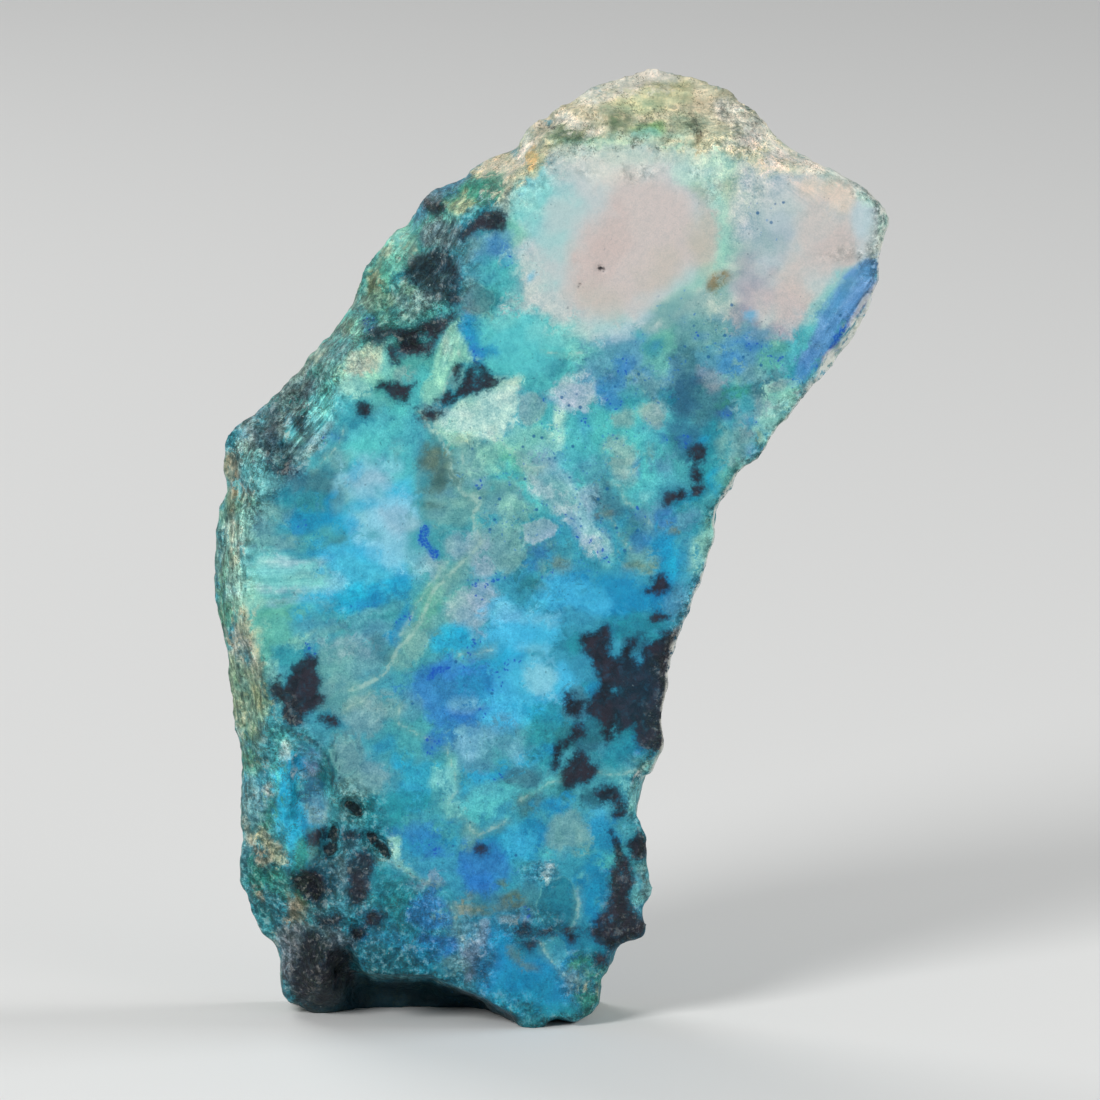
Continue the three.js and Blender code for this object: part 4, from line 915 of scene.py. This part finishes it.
def add_camera():
    centre = Vector((0, CAD_LOW[1], (SHEET_FLOOR_Y - SHEET_SIZE / 2) * UNIT / math.cos(VIEW_TILT)))
    away = Vector(TOWARDS_CAMERA)
    camera = bpy.data.objects.new("camera", bpy.data.cameras.new("camera"))
    camera.data.sensor_width = SENSOR_WIDTH
    camera.data.lens = SENSOR_WIDTH * CAMERA_DISTANCE / (SHEET_SIZE * UNIT)
    camera.data.clip_start, camera.data.clip_end = CAMERA_CLIP
    camera.location = centre + CAMERA_DISTANCE * away
    camera.rotation_euler = away.to_track_quat("Z", "Y").to_euler()
    bpy.context.collection.objects.link(camera)
    bpy.context.scene.camera = camera


def add_softbox(name, place, width, power):
    light = bpy.data.lights.new(name, "AREA")
    light.shape = "DISK"
    light.size = width
    light.energy = power
    lamp = bpy.data.objects.new(name, light)
    lamp.location = place
    lamp.rotation_euler = (Vector(place) - Vector(STONE_MIDDLE)).to_track_quat("Z", "Y").to_euler()
    bpy.context.collection.objects.link(lamp)


def add_floor():
    mesh = bpy.data.meshes.new("floor")
    ends = ((-1, -1), (1, -1), (1, 1), (-1, 1))
    corners = [(FLOOR_HALF * across, FLOOR_HALF * along, 0) for across, along in ends]
    mesh.from_pydata(corners, [], [(0, 1, 2, 3)])
    floor = bpy.data.objects.new("floor", mesh)
    bpy.context.collection.objects.link(floor)
    paint = bpy.data.materials.new("pale floor")
    paint.use_nodes = True
    shader = paint.node_tree.nodes["Principled BSDF"]
    shader.inputs["Base Color"].default_value = FLOOR_COLOUR
    shader.inputs["Roughness"].default_value = FLOOR_ROUGHNESS
    mesh.materials.append(paint)


def add_room():
    for name, place, width, power in SOFTBOXES:
        add_softbox(name, place, width, power)
    world = bpy.data.worlds.new("room")
    world.use_nodes = True
    background = world.node_tree.nodes["Background"]
    background.inputs["Color"].default_value = ROOM_COLOUR
    background.inputs["Strength"].default_value = ROOM_LIGHT
    bpy.context.scene.world = world
    add_floor()


# The shape of the stone

def coordinates(mesh):
    flat = np.empty(3 * len(mesh.vertices))
    mesh.vertices.foreach_get("co", flat)
    return flat.reshape(-1, 3)


def normals(mesh):
    flat = np.empty(3 * len(mesh.vertices))
    mesh.vertex_normals.foreach_get("vector", flat)
    return flat.reshape(-1, 3)


def move_points(mesh, points):
    mesh.vertices.foreach_set("co", points.ravel())
    mesh.update()


def edge_list(mesh):
    flat = np.empty(2 * len(mesh.edges), dtype=np.int32)
    mesh.edges.foreach_get("vertices", flat)
    return flat.reshape(-1, 2)


def evenly_meshed_copy(node):
    """A closed copy of the solid with small even faces."""
    mesh = node.data.copy()
    shape = bmesh.new()
    shape.from_mesh(mesh)
    bmesh.ops.remove_doubles(shape, verts=shape.verts, dist=1e-6)
    shape.to_mesh(mesh)
    shape.free()
    stone = bpy.data.objects.new("stone", mesh)
    bpy.context.collection.objects.link(stone)
    remesh = stone.modifiers.new("even faces", "REMESH")
    remesh.mode = "VOXEL"
    remesh.voxel_size = VOXEL
    bpy.context.view_layer.update()
    even = bpy.data.meshes.new_from_object(stone.evaluated_get(bpy.context.evaluated_depsgraph_get()))
    stone.modifiers.clear()
    stone.data = even
    return stone


def smooth(points, edges):
    """Relaxes points towards the middle of their neighbours and back, so that the stone keeps its size."""
    count = np.bincount(edges.ravel(), minlength=len(points))[:, None]
    for share in SMOOTHING:
        total = np.zeros_like(points)
        for a, b in (edges.T, edges.T[::-1]):
            np.add.at(total, a, points[b])
        points = points + share * (total / count - points)
    return points


def relief(points, kind, seed, octaves=1, sunk=0):
    """One kind of roughness as a height over the smooth surface."""
    height, size = kind
    return height * (fractal(points, size, seed, octaves) - sunk)


def rind_relief(points, x, y):
    """Lumps and grit, with upright layers at the left edge and level beds at the top."""
    lumps = relief(points, LUMPS, 11, 3, sunk=0.15)
    grit = (1 - amount(x, y, SMOOTH_RIND)) * relief(points, GRIT, 21, 2, sunk=0.15)
    layers = smoothstep(*LEFT_PART, points[:, 0]) * relief(points * (1, 1, 0.16), LAYERS, 31, sunk=0.1)
    beds = smoothstep(*TOP_PART, points[:, 2]) * relief(points * (0.2, 1, 1), BEDS, 35, sunk=0.1)
    return lumps + grit + layers + beds


def face_relief(points, x, y, out):
    """The ledges, broken parts and open pockets of the front."""
    front = smoothstep(*FRONT_FACING, -out[:, 1])
    swell = np.zeros(len(x))
    for depth, edge, shape in LEDGES:
        swell -= 0.001 * depth * front * smoothstep(0, edge, shape_margin(x, y, shape))
    broken = amount(x, y, BROKEN) * front
    swell += broken * (relief(points, CRAGS, 45, 3, sunk=0.5) + relief(points, CHIPS, 47))
    dug = front * smoothstep(-3, 4, patch_margin(x, y, POCKETS))
    return swell - POCKET_DEPTH * dug


def roughness_of(points, out, polished, sawn):
    """How far each point of the stone moves out of its smooth surface."""
    x, y = sheet_place(points)
    rough = (1 - polished) * (1 - sawn) * smoothstep(*ROUGH_DEPTH, points[:, 1] - CAD_LOW[1])
    swell = rough * rind_relief(points, x, y)
    swell += polished * (relief(points, WAVES, 41) + relief(points, RIPPLES, 43))
    swell += sawn * relief(points, SAW_MARKS, 51, sunk=1)
    return swell + face_relief(points, x, y, out)


def sculpt(stone):
    """Smooths the facets away, roughens all but the base and says how polished each point is."""
    mesh = stone.data
    points = smooth(coordinates(mesh), edge_list(mesh))
    move_points(mesh, points)
    out = normals(mesh)
    depth = points[:, 1] - CAD_LOW[1]
    polished = 1 - smoothstep(*POLISHED_DEPTH, depth + relief(points, RAGGED_POLISH, 49, 3))
    polished *= smoothstep(*POLISHED_FACING, -out[:, 1])
    sawn = smoothstep(*SAWN_DEPTH, depth) * smoothstep(*SAWN_FACING, out[:, 1])
    free = smoothstep(0, FOOT_HEIGHT, points[:, 2])
    swell = free * roughness_of(points, out, polished, sawn)
    points = np.clip(points + swell[:, None] * out, CAD_LOW, CAD_HIGH)
    move_points(mesh, points)
    return polished * (1 - 0.8 * amount(*sheet_place(points), BROKEN))


# The markings

def add_amount(mesh, name, values):
    attribute = mesh.attributes.new(name, "FLOAT", "POINT")
    attribute.data.foreach_set("value", values.astype(np.float32))


def add_colour(mesh, name, values):
    attribute = mesh.attributes.new(name, "FLOAT_COLOR", "POINT")
    with_alpha = np.c_[values, np.ones(len(values))]
    attribute.data.foreach_set("color", with_alpha.astype(np.float32).ravel())


def cloud_tint(x, y, strays):
    """The soft clouds of colour, painted one over the other."""
    tint = np.tile(to_linear(MINERALS["lagoon"]), (len(x), 1))
    turn = 0
    for mineral, strength, edge, *shapes in CLOUDS:
        colour = to_linear(MINERALS[mineral])
        for shape in shapes:
            turn = (turn + 1) % len(strays)
            wander = 0 if isinstance(shape, list) else 0.5 * min(min(shape[2:4]), 26)
            margin = shape_margin(x, y, shape) + (1.2 + 0.45 * edge + wander) * strays[turn]
            cover = strength * smoothstep(-0.5 * edge, 0.5 * edge, margin)
            tint += cover[:, None] * (colour - tint)
    return tint


def clast_tint(x, y):
    """The nearest fragment's colour, and how deep each point lies inside it."""
    margin = np.full(len(x), -FAR)
    tint = np.tile(to_linear(MINERALS["grey"]), (len(x), 1))
    for mineral, *shapes in CLASTS:
        for shape in shapes:
            here = shape_margin(x, y, shape)
            nearer = here > margin
            margin[nearer] = here[nearer]
            tint[nearer] = to_linear(MINERALS[mineral])
    return tint, margin


def fibre_place(points, x, y):
    """Places stretched along the fibres of the strongest fibrous zone, and how fibrous each point is."""
    strongest, second = np.zeros(len(x)), np.zeros(len(x))
    place = points.copy()
    for *oval, direction, strength in FIBRES:
        weight = strength * smoothstep(1.2, 0.5, oval_reach(x, y, *oval))
        angle = math.radians(direction)
        along = (points[:, 0] * math.cos(angle) - points[:, 2] * math.sin(angle)) * 0.12
        across = points[:, 0] * math.sin(angle) + points[:, 2] * math.cos(angle)
        here = weight > strongest
        second = np.where(here, strongest, np.maximum(second, weight))
        strongest = np.maximum(strongest, weight)
        place[here] = np.c_[along, points[:, 1] * 0.5, across][here]
    return place, strongest * smoothstep(0, 0.2, strongest - second)


def painted_place(points, depth, seen):
    """Where points lie on the sheet, frayed, and straying more and more towards the unseen back."""
    x, y = sheet_place(points)
    stray = FACE_STRAY + BACK_STRAY * smoothstep(0.004, 0.022, depth) * (1 - seen)
    x = x + stray * fractal(points, 0.009, 61) + FRAY * noise(points, 0.0018, 63)
    y = y + stray * fractal(points, 0.009, 62) + FRAY * noise(points, 0.0018, 64)
    return x, y


def add_tints(mesh, points, x, y, side, hollow_shade):
    """The clouds of colour, once in their place and once thrown about for the flecks."""
    strays = [fractal(points, 0.0028 + 0.0004 * seed, 71 + 10 * seed, 3) for seed in range(4)]
    tint = cloud_tint(x, y, strays)
    fleck_x = x + FLECK_REACH * noise(points, 0.0024, 65)
    fleck_y = y + FLECK_REACH * noise(points, 0.0024, 66)
    fleck = cloud_tint(fleck_x, fleck_y, strays[::-1])
    earth = smoothstep(-0.3, 0.5, fractal(points, 0.007, 91))[:, None]
    crust = to_linear(MINERALS["sage"]) * (1 - earth) + to_linear(MINERALS["clay"]) * earth
    for name, colours in (("tint", tint), ("fleck tint", fleck)):
        colours += 0.6 * side[:, None] * (crust - colours)
        # painted shade: the hollow under the foot is darkened towards ink
        colours += 0.85 * hollow_shade[:, None] * (to_linear(MINERALS["ink"]) - colours)
        add_colour(mesh, name, colours)


def pale_break_and_rim_highlight(x, y, depth, out):
    """Where the right edge is a pale break with a painted rim highlight: on the wedge, and where the surface
    turns away down the side.
    """
    wedge = smoothstep(*WEDGE_LEFT, x) * smoothstep(0.3, 0.7, out[:, 0]) * smoothstep(0.006, 0.0035, depth)
    wedge *= smoothstep(*WEDGE_TOP, y)
    facing = out @ TOWARDS_CAMERA
    turning = smoothstep(0.75, 0.5, facing) * smoothstep(-0.1, 0.1, facing)
    turning *= smoothstep(0.3, 0.6, out[:, 0]) * smoothstep(0.008, 0.004, depth) * smoothstep(*TURN_FOOT, y)
    return np.maximum(wedge, turning) * smoothstep(*RIM_FOOT, y)


def add_markings(mesh, polished):
    """Writes what the finish reads, point by point."""
    points = coordinates(mesh)
    depth = points[:, 1] - CAD_LOW[1]
    out = normals(mesh)
    seen = smoothstep(-0.05, 0.3, out @ TOWARDS_CAMERA)
    x, y = painted_place(points, depth, seen)
    side = smoothstep(0.006, 0.011, depth) * (1 - smoothstep(0.0195, 0.0212, depth)) * (1 - seen)
    # where shade is painted into the hollow under the foot
    hollow_shade = smoothstep(-2, 5, shape_margin(x, y, SHADED_HOLLOW))
    add_tints(mesh, points, x, y, side, hollow_shade)
    # the pale break of the right edge together with its painted rim highlight
    add_amount(mesh, "rim_pale_and_lit", pale_break_and_rim_highlight(x, y, depth, out))
    clast, clast_margin = clast_tint(x, y)
    add_colour(mesh, "clast tint", clast)
    add_amount(mesh, "clast", clast_margin)
    add_amount(mesh, "polished", polished)
    add_amount(mesh, "tenorite", np.minimum(patch_margin(x, y, TENORITE), 1 - patch_margin(x, y, WINDOWS)))
    for name, shapes in (("pocket_shade", POCKETS), ("azurite", AZURITE), ("cluster", CLUSTERS)):
        add_amount(mesh, name, patch_margin(x, y, shapes))
    for name, lines in (("vein", VEINS), ("hairline_and_ledge_shadow", HAIRLINES_AND_LEDGE_SHADOWS)):
        add_amount(mesh, name, line_margin(x, y, lines))
    add_amount(mesh, "speckled", amount(x, y, SPECKLED))
    add_amount(mesh, "busy", 1 - amount(x, y, CALM))
    back, wall = smoothstep(0.4, 0.85, out[:, 1]), smoothstep(0.6, 0.9, out[:, 0])
    rough = (1 - np.maximum(0.8 * back, 0.6 * wall)) * (1 - hollow_shade)
    add_amount(mesh, "glitter", amount(x, y, GLITTER) * rough)
    add_amount(mesh, "crusty", (0.9 - amount(x, y, SMOOTH_RIND)) * rough)
    place, fibrous = fibre_place(points, x, y)
    stretched = mesh.attributes.new("fibre place", "FLOAT_VECTOR", "POINT")
    stretched.data.foreach_set("vector", place.astype(np.float32).ravel())
    add_amount(mesh, "fibrous", fibrous)


# Shader maths

# What a colour is multiplied by at the dark end and at the light end of a tone
TONES = {
    "drift": ((0.95, 1.02, 0.96), (1.00, 0.98, 1.05)),
    "broad": ((0.72, 0.81, 0.85), (1.26, 1.15, 1.10)),
    "shards": ((0.82, 0.90, 0.93), (1.15, 1.08, 1.05)),
    "fine": ((0.70, 0.82, 0.86), (1.30, 1.16, 1.12)),
    "strands": ((0.74, 0.84, 0.88), (1.34, 1.20, 1.15)),
    "specks": ((0.70, 0.79, 0.83), (1.32, 1.21, 1.17)),
    "halo": ((1, 1, 1), (0.16, 0.40, 0.52)),
    "slabs": ((0.76, 0.79, 0.78), (1.18, 1.16, 1.15)),
    # the crust tone paints shade into the hollows of the rind's crust
    "crust": ((0.40, 0.46, 0.45), (1.48, 1.42, 1.38)),
    "crumbs": ((0.60, 0.64, 0.64), (1.42, 1.38, 1.36)),
    # painted highlight and shade on glittering crystal facets
    "glitter_facets": ((0.40, 0.42, 0.46), (1.24, 1.24, 1.26)),
}


class Wire:
    """An output of a shader node. Arithmetic on it adds Math nodes."""

    def __init__(self, recipe, socket):
        self.recipe = recipe
        self.socket = socket

    def maths(self, operation, *values):
        return self.recipe.add("ShaderNodeMath", {"operation": operation}, dict(enumerate(values)))

    def __add__(self, other):
        return self.maths("ADD", self, other)

    def __sub__(self, other):
        return self.maths("SUBTRACT", self, other)

    def __mul__(self, other):
        return self.maths("MULTIPLY", self, other)

    def __rsub__(self, other):
        return self.maths("SUBTRACT", other, self)

    __radd__ = __add__
    __rmul__ = __mul__


class Recipe:
    """The node tree of one material."""

    def __init__(self, name):
        self.material = bpy.data.materials.new(name)
        self.material.use_nodes = True
        self.nodes = self.material.node_tree.nodes
        self.links = self.material.node_tree.links
        self.surface = self.nodes["Principled BSDF"]

    def add(self, kind, settings=None, inputs=None, output=0):
        """Adds a node of a kind, makes its settings, fills its sockets and gives one of its outputs."""
        node = self.nodes.new(kind)
        for name, value in (settings or {}).items():
            setattr(node, name, value)
        self.fill(node, inputs or {})
        return Wire(self, node.outputs[output])

    def fill(self, node, inputs):
        for name, value in inputs.items():
            if isinstance(value, Wire):
                self.links.new(value.socket, node.inputs[name])
            else:
                node.inputs[name].default_value = value

    def attribute(self, name, output="Fac"):
        return self.add("ShaderNodeAttribute", {"attribute_name": name}, output=output)

    def noise(self, place, size, detail=3, roughness=0.5, distortion=0.0, output="Fac"):
        inputs = {"Vector": place, "Scale": 1 / size, "Detail": detail, "Roughness": roughness,
                  "Distortion": distortion}
        return self.add("ShaderNodeTexNoise", {}, inputs, output)

    def step(self, value, low, high, to_low=0.0, to_high=1.0):
        inputs = {0: value, 1: low, 2: high, 3: to_low, 4: to_high}
        return self.add("ShaderNodeMapRange", {"interpolation_type": "SMOOTHSTEP"}, inputs)

    def blend(self, factor, first, second, mode="MIX"):
        inputs = {0: factor, 6: first, 7: second}
        return self.add("ShaderNodeMix", {"data_type": "RGBA", "blend_type": mode}, inputs, 2)

    def tone(self, factor, colour, value, name):
        """Darkens or lightens a colour, by a factor, as a value runs from 0 to 1."""
        dark, light = TONES[name]
        return self.blend(factor, colour, self.blend(value, (*dark, 1), (*light, 1)), "MULTIPLY")

    def displaced(self, place, size, reach):
        """A place moved about at random."""
        drift = self.noise(place, size, 2, output="Color")
        moved = self.add("ShaderNodeVectorMath", {"operation": "SUBTRACT"}, {0: drift, 1: (0.5, 0.5, 0.5)})
        moved = self.add("ShaderNodeVectorMath", {"operation": "SCALE"}, {0: moved, "Scale": reach})
        return self.add("ShaderNodeVectorMath", {"operation": "ADD"}, {0: place, 1: moved})

    def ridges(self, place, size, width):
        """Thin crooked lines."""
        level = self.noise(place, size, 4, 0.85) - 0.5
        return self.step(level.maths("ABSOLUTE", level), width, 0.0)


class Grains:
    """A random pattern of cells: how far the middle of a cell is, and three random values for it."""

    def __init__(self, recipe, place, size):
        self.recipe = recipe
        self.size = size
        self.away = recipe.add("ShaderNodeTexVoronoi", {}, {"Vector": place, "Scale": 1 / size}, "Distance")
        colour = Wire(recipe, self.away.socket.node.outputs["Color"])
        split = recipe.add("ShaderNodeSeparateColor", {}, {0: colour})
        self.chances = [Wire(recipe, socket) for socket in split.socket.node.outputs]

    def dots(self, radius, density, turn):
        """Round dots in some of the cells, others for each turn."""
        chosen = self.recipe.step(density - self.chances[turn], 0.0, 0.04)
        return chosen * self.recipe.step(self.away, radius / self.size, 0.5 * radius / self.size)


def colour_of(mineral):
    return (*to_linear(MINERALS[mineral]), 1)


class Textures:
    """The noises and grains that the parts of the finish share."""

    def __init__(self, recipe):
        self.place = recipe.add("ShaderNodeTexCoord", output="Object")
        self.crooked = recipe.displaced(self.place, 0.0012, 0.0012)
        self.sand = Grains(recipe, self.crooked, 0.00065)
        self.gravel = Grains(recipe, self.place, 0.0015)
        self.shards = Grains(recipe, self.crooked, 0.0016)
        self.broad = recipe.noise(self.place, 0.0030, 4, 0.62, 0.8)
        self.fine = recipe.noise(self.crooked, 0.0011, 3, 0.65)
        self.grain = recipe.noise(self.place, 0.00030, 2)
        self.patchy = recipe.noise(self.crooked, 0.0013, 4, 0.7, 0.6)


def clouded(recipe, stuff):
    """The clouds of colour with their flecks and fragments."""
    scattered = recipe.step(stuff.patchy, 0.47, 0.56) * (0.3 + 0.6 * recipe.attribute("busy"))
    tint, fleck = recipe.attribute("tint", "Color"), recipe.attribute("fleck tint", "Color")
    colour = recipe.blend(scattered, tint, fleck)
    clast = recipe.attribute("clast")
    edge = clast + 9 * (stuff.fine - 0.5) + 3 * (stuff.grain - 0.5)
    colour = recipe.blend(recipe.step(edge, -2, 1.5) * 0.6, colour, recipe.attribute("clast tint", "Color"))
    outline = clast + 3 * (stuff.fine - 0.5)
    outline = recipe.step(outline.maths("ABSOLUTE", outline), 1.3, 0.3)
    outline = outline * recipe.step(stuff.patchy, 0.40, 0.52)
    return recipe.blend(outline * 0.2, colour, colour_of("aqua"))


def mottled(recipe, colour, stuff):
    """Adds the mottling from broad to fine, the fibres and the sparse grains."""
    busy = recipe.attribute("busy")
    drift = recipe.noise(stuff.place, 0.0065, 3, 0.5, 0.5)
    colour = recipe.tone(busy, colour, recipe.step(drift, 0.35, 0.65), "drift")
    colour = recipe.tone(busy, colour, recipe.step(stuff.broad, 0.30, 0.72), "broad")
    colour = recipe.tone(busy * 0.7, colour, stuff.shards.chances[0], "shards")
    colour = recipe.tone(0.12 + 0.64 * busy, colour, recipe.step(stuff.fine, 0.28, 0.74), "fine")
    strand = recipe.noise(recipe.attribute("fibre place", "Vector"), 0.00042, 3, 0.65)
    fibrous = recipe.attribute("fibrous")
    colour = recipe.tone(fibrous * 0.75, colour, recipe.step(strand, 0.3, 0.7), "strands")
    speck = recipe.step(recipe.noise(stuff.place, 0.00024, 2, 0.6), 0.3, 0.7)
    colour = recipe.tone(0.2 + 0.6 * busy, colour, speck, "specks")
    sparse = 0.01 + 0.34 * busy
    colour = recipe.blend(stuff.gravel.dots(0.00014, sparse, 1) * 0.3, colour, colour_of("frost"))
    return recipe.blend(stuff.sand.dots(0.00017, sparse, 0) * 0.4, colour, colour_of("dusk"))


def veined(recipe, colour, stuff, ragged):
    """Adds the pale veins on their greenish ground."""
    vein = recipe.attribute("vein") + ragged * 0.3
    colour = recipe.blend(recipe.step(vein, -7, 1) * 0.18, colour, colour_of("vein green"))
    line = recipe.step(vein, -1.6, 1.2) * recipe.step(stuff.patchy, 0.36, 0.56)
    return recipe.blend(line * 0.5, colour, colour_of("vein cream"))


def with_azurite(recipe, colour, stuff, ragged):
    """Adds the dots, clusters and solid patches of azurite."""
    speckled = recipe.attribute("speckled")
    small = stuff.sand.dots(0.00020, speckled * recipe.step(stuff.broad, 0.35, 0.6) * 0.8, 1)
    large = stuff.gravel.dots(0.00034, speckled * 0.5, 2)
    colour = recipe.blend(small * 0.5, colour, colour_of("cobalt"))
    colour = recipe.blend(large * 0.8, colour, colour_of("dot blue"))
    cluster = recipe.step(recipe.attribute("cluster") + ragged * 0.6, -6, 1)
    colour = recipe.blend(cluster * 0.25, colour, colour_of("cobalt"))
    grains = stuff.sand.dots(0.00027, cluster * 0.85, 1)
    azurite = recipe.attribute("azurite") + ragged * 0.8
    colour = recipe.blend(recipe.step(azurite, -5, 1) * 0.3, colour, colour_of("cobalt"))
    solid = recipe.step(azurite, -1.5, 1) * (0.45 + 0.6 * recipe.step(stuff.grain, 0.4, 0.6))
    return recipe.blend(solid.maths("MAXIMUM", solid, grains * 0.8), colour, colour_of("royal"))


def with_tenorite(recipe, colour, stuff, tenorite):
    """Adds the dark tenorite, thinner where crystals glitter."""
    tar = recipe.blend(recipe.step(stuff.broad, 0.38, 0.62), colour_of("plum"), colour_of("ink"))
    tar = recipe.blend(recipe.step(stuff.patchy, 0.50, 0.62) * 0.4, tar, colour_of("night"))
    core = recipe.step(tenorite, -4.0, 3.2) * recipe.step(stuff.fine, 0.72, 0.5, 0.76, 0.97)
    core = core * (1 - 0.55 * recipe.attribute("glitter"))
    colour = recipe.blend(core, colour, tar)
    return recipe.blend(core * stuff.gravel.dots(0.00014, 0.22, 1) * 0.4, colour, colour_of("grey"))


def marked(recipe, colour, stuff):
    """Adds veins, azurite, tenorite with its dark halo, hairlines, a painted ledge shadow and painted pocket
    shade.
    """
    ragged = 15 * (stuff.fine - 0.5) + 5 * (stuff.grain - 0.5)
    tenorite = recipe.attribute("tenorite") + ragged * 1.25
    halo = recipe.step(tenorite, -11, 1)
    colour = recipe.tone(halo * 0.9, colour, halo, "halo")
    colour = veined(recipe, colour, stuff, ragged)
    colour = with_azurite(recipe, colour, stuff, ragged)
    colour = with_tenorite(recipe, colour, stuff, tenorite)
    # dark hairlines, and the painted shadow line under the ledge above the scoop
    hairline_and_ledge_shadow = recipe.step(recipe.attribute("hairline_and_ledge_shadow") + ragged * 0.15, -0.9, 0.6)
    colour = recipe.blend(hairline_and_ledge_shadow * 0.75, colour, colour_of("abyss"))
    # painted shade inside the open pockets and cracks
    pocket_shade = recipe.step(recipe.attribute("pocket_shade") + ragged * 0.4, -1, 1.5)
    return recipe.blend(pocket_shade * 0.93, colour, colour_of("ink"))


class Rind:
    """The natural rind: slabs and crust that show in its colour and in its height, with painted shade in the
    hollows of the crust.
    """

    def __init__(self, recipe, stuff):
        self.bare = 1 - recipe.attribute("polished")
        self.crusty = self.bare * recipe.attribute("crusty")
        self.slabs = recipe.noise(stuff.place, 0.0034, 3, 0.55, 0.3)
        crust = recipe.noise(stuff.place, 0.0011, 4, 0.78)
        beds = recipe.noise(recipe.attribute("fibre place", "Vector"), 0.0008, 3, 0.7)
        self.crust = crust + 0.9 * recipe.attribute("fibrous") * (beds - crust)

    def coloured(self, recipe, colour, stuff):
        crumbs = stuff.sand.chances[0]
        # darker where the slabs lie lower, lighter where they stand higher
        colour = recipe.tone(self.bare * 0.8, colour, recipe.step(self.slabs, 0.36, 0.60), "slabs")
        # painted shade in the hollows of the crust, following its height; its tops paler
        cover = 0.12 * self.bare + 0.88 * self.crusty
        colour = recipe.tone(cover, colour, recipe.step(self.crust, 0.40, 0.60), "crust")
        colour = recipe.tone(self.crusty * 0.6, colour, crumbs, "crumbs")
        seams = self.bare * recipe.ridges(stuff.place, 0.0032, 0.022) * recipe.step(stuff.broad, 0.40, 0.52)
        colour = recipe.blend(seams * 0.75, colour, colour_of("rind shadow"))
        light = self.crusty * recipe.step(self.crust + 0.2 * crumbs, 0.64, 0.82)
        colour = recipe.blend(light * 0.25, colour, colour_of("bone"))
        # painted rim highlight along the right edge, partly the pale break of the stone itself
        pale_and_lit_rim = recipe.attribute("rim_pale_and_lit") * recipe.step(self.crust, 0.40, 0.52)
        return recipe.blend(pale_and_lit_rim * 0.85, colour, colour_of("rim_pale_and_lit"))


def stone_finish():
    """Polished copper minerals that end in a rough natural rind."""
    recipe = Recipe("chrysocolla")
    stuff = Textures(recipe)
    rind = Rind(recipe, stuff)
    colour = mottled(recipe, clouded(recipe, stuff), stuff)
    colour = marked(recipe, colour, stuff)
    colour = rind.coloured(recipe, colour, stuff)
    glitter = recipe.attribute("glitter")
    # painted highlights and shade on glittering crystal facets, following their height, then painted glints
    glitter_facets = recipe.noise(stuff.crooked, 0.0007, 3, 0.9)
    colour = recipe.tone(glitter, colour, recipe.step(glitter_facets, 0.43, 0.56), "glitter_facets")
    glint = stuff.sand.dots(0.00014, 0.16 * glitter, 2)
    colour = recipe.blend(glint * 0.5, colour, colour_of("frost"))

    height = (0.25 * rind.bare + 0.75 * rind.crusty) * 1.15 * (rind.crust - 0.5)
    height = height + (0.05 * stuff.fine + 0.02 * stuff.grain)
    height = height + rind.bare * 1.1 * (rind.slabs - 0.5) + 0.6 * glitter * (glitter_facets - 0.5)
    gloss = recipe.step(recipe.attribute("polished"), 0, 1, 0.46, 0.28)
    recipe.fill(recipe.surface, {
        "Base Color": colour,
        "Roughness": gloss + 0.14 * (stuff.fine - 0.5) - glint * 0.15,
        "Normal": recipe.add("ShaderNodeBump", {}, {"Height": height, "Distance": 0.0009, "Strength": 1.0}),
        "IOR": 1.5,
        "Specular IOR Level": 0.22,
    })
    return recipe.material


def make_stone():
    stone = evenly_meshed_copy(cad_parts["slab"])
    polished = sculpt(stone)
    add_markings(stone.data, polished)
    stone.data.materials.clear()
    stone.data.materials.append(stone_finish())
    stone.data.polygons.foreach_set("use_smooth", [True] * len(stone.data.polygons))
    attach(stone, "root")
    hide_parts("slab")


add_camera()
add_room()
make_stone()
bpy.context.scene.view_settings.view_transform = "Standard"
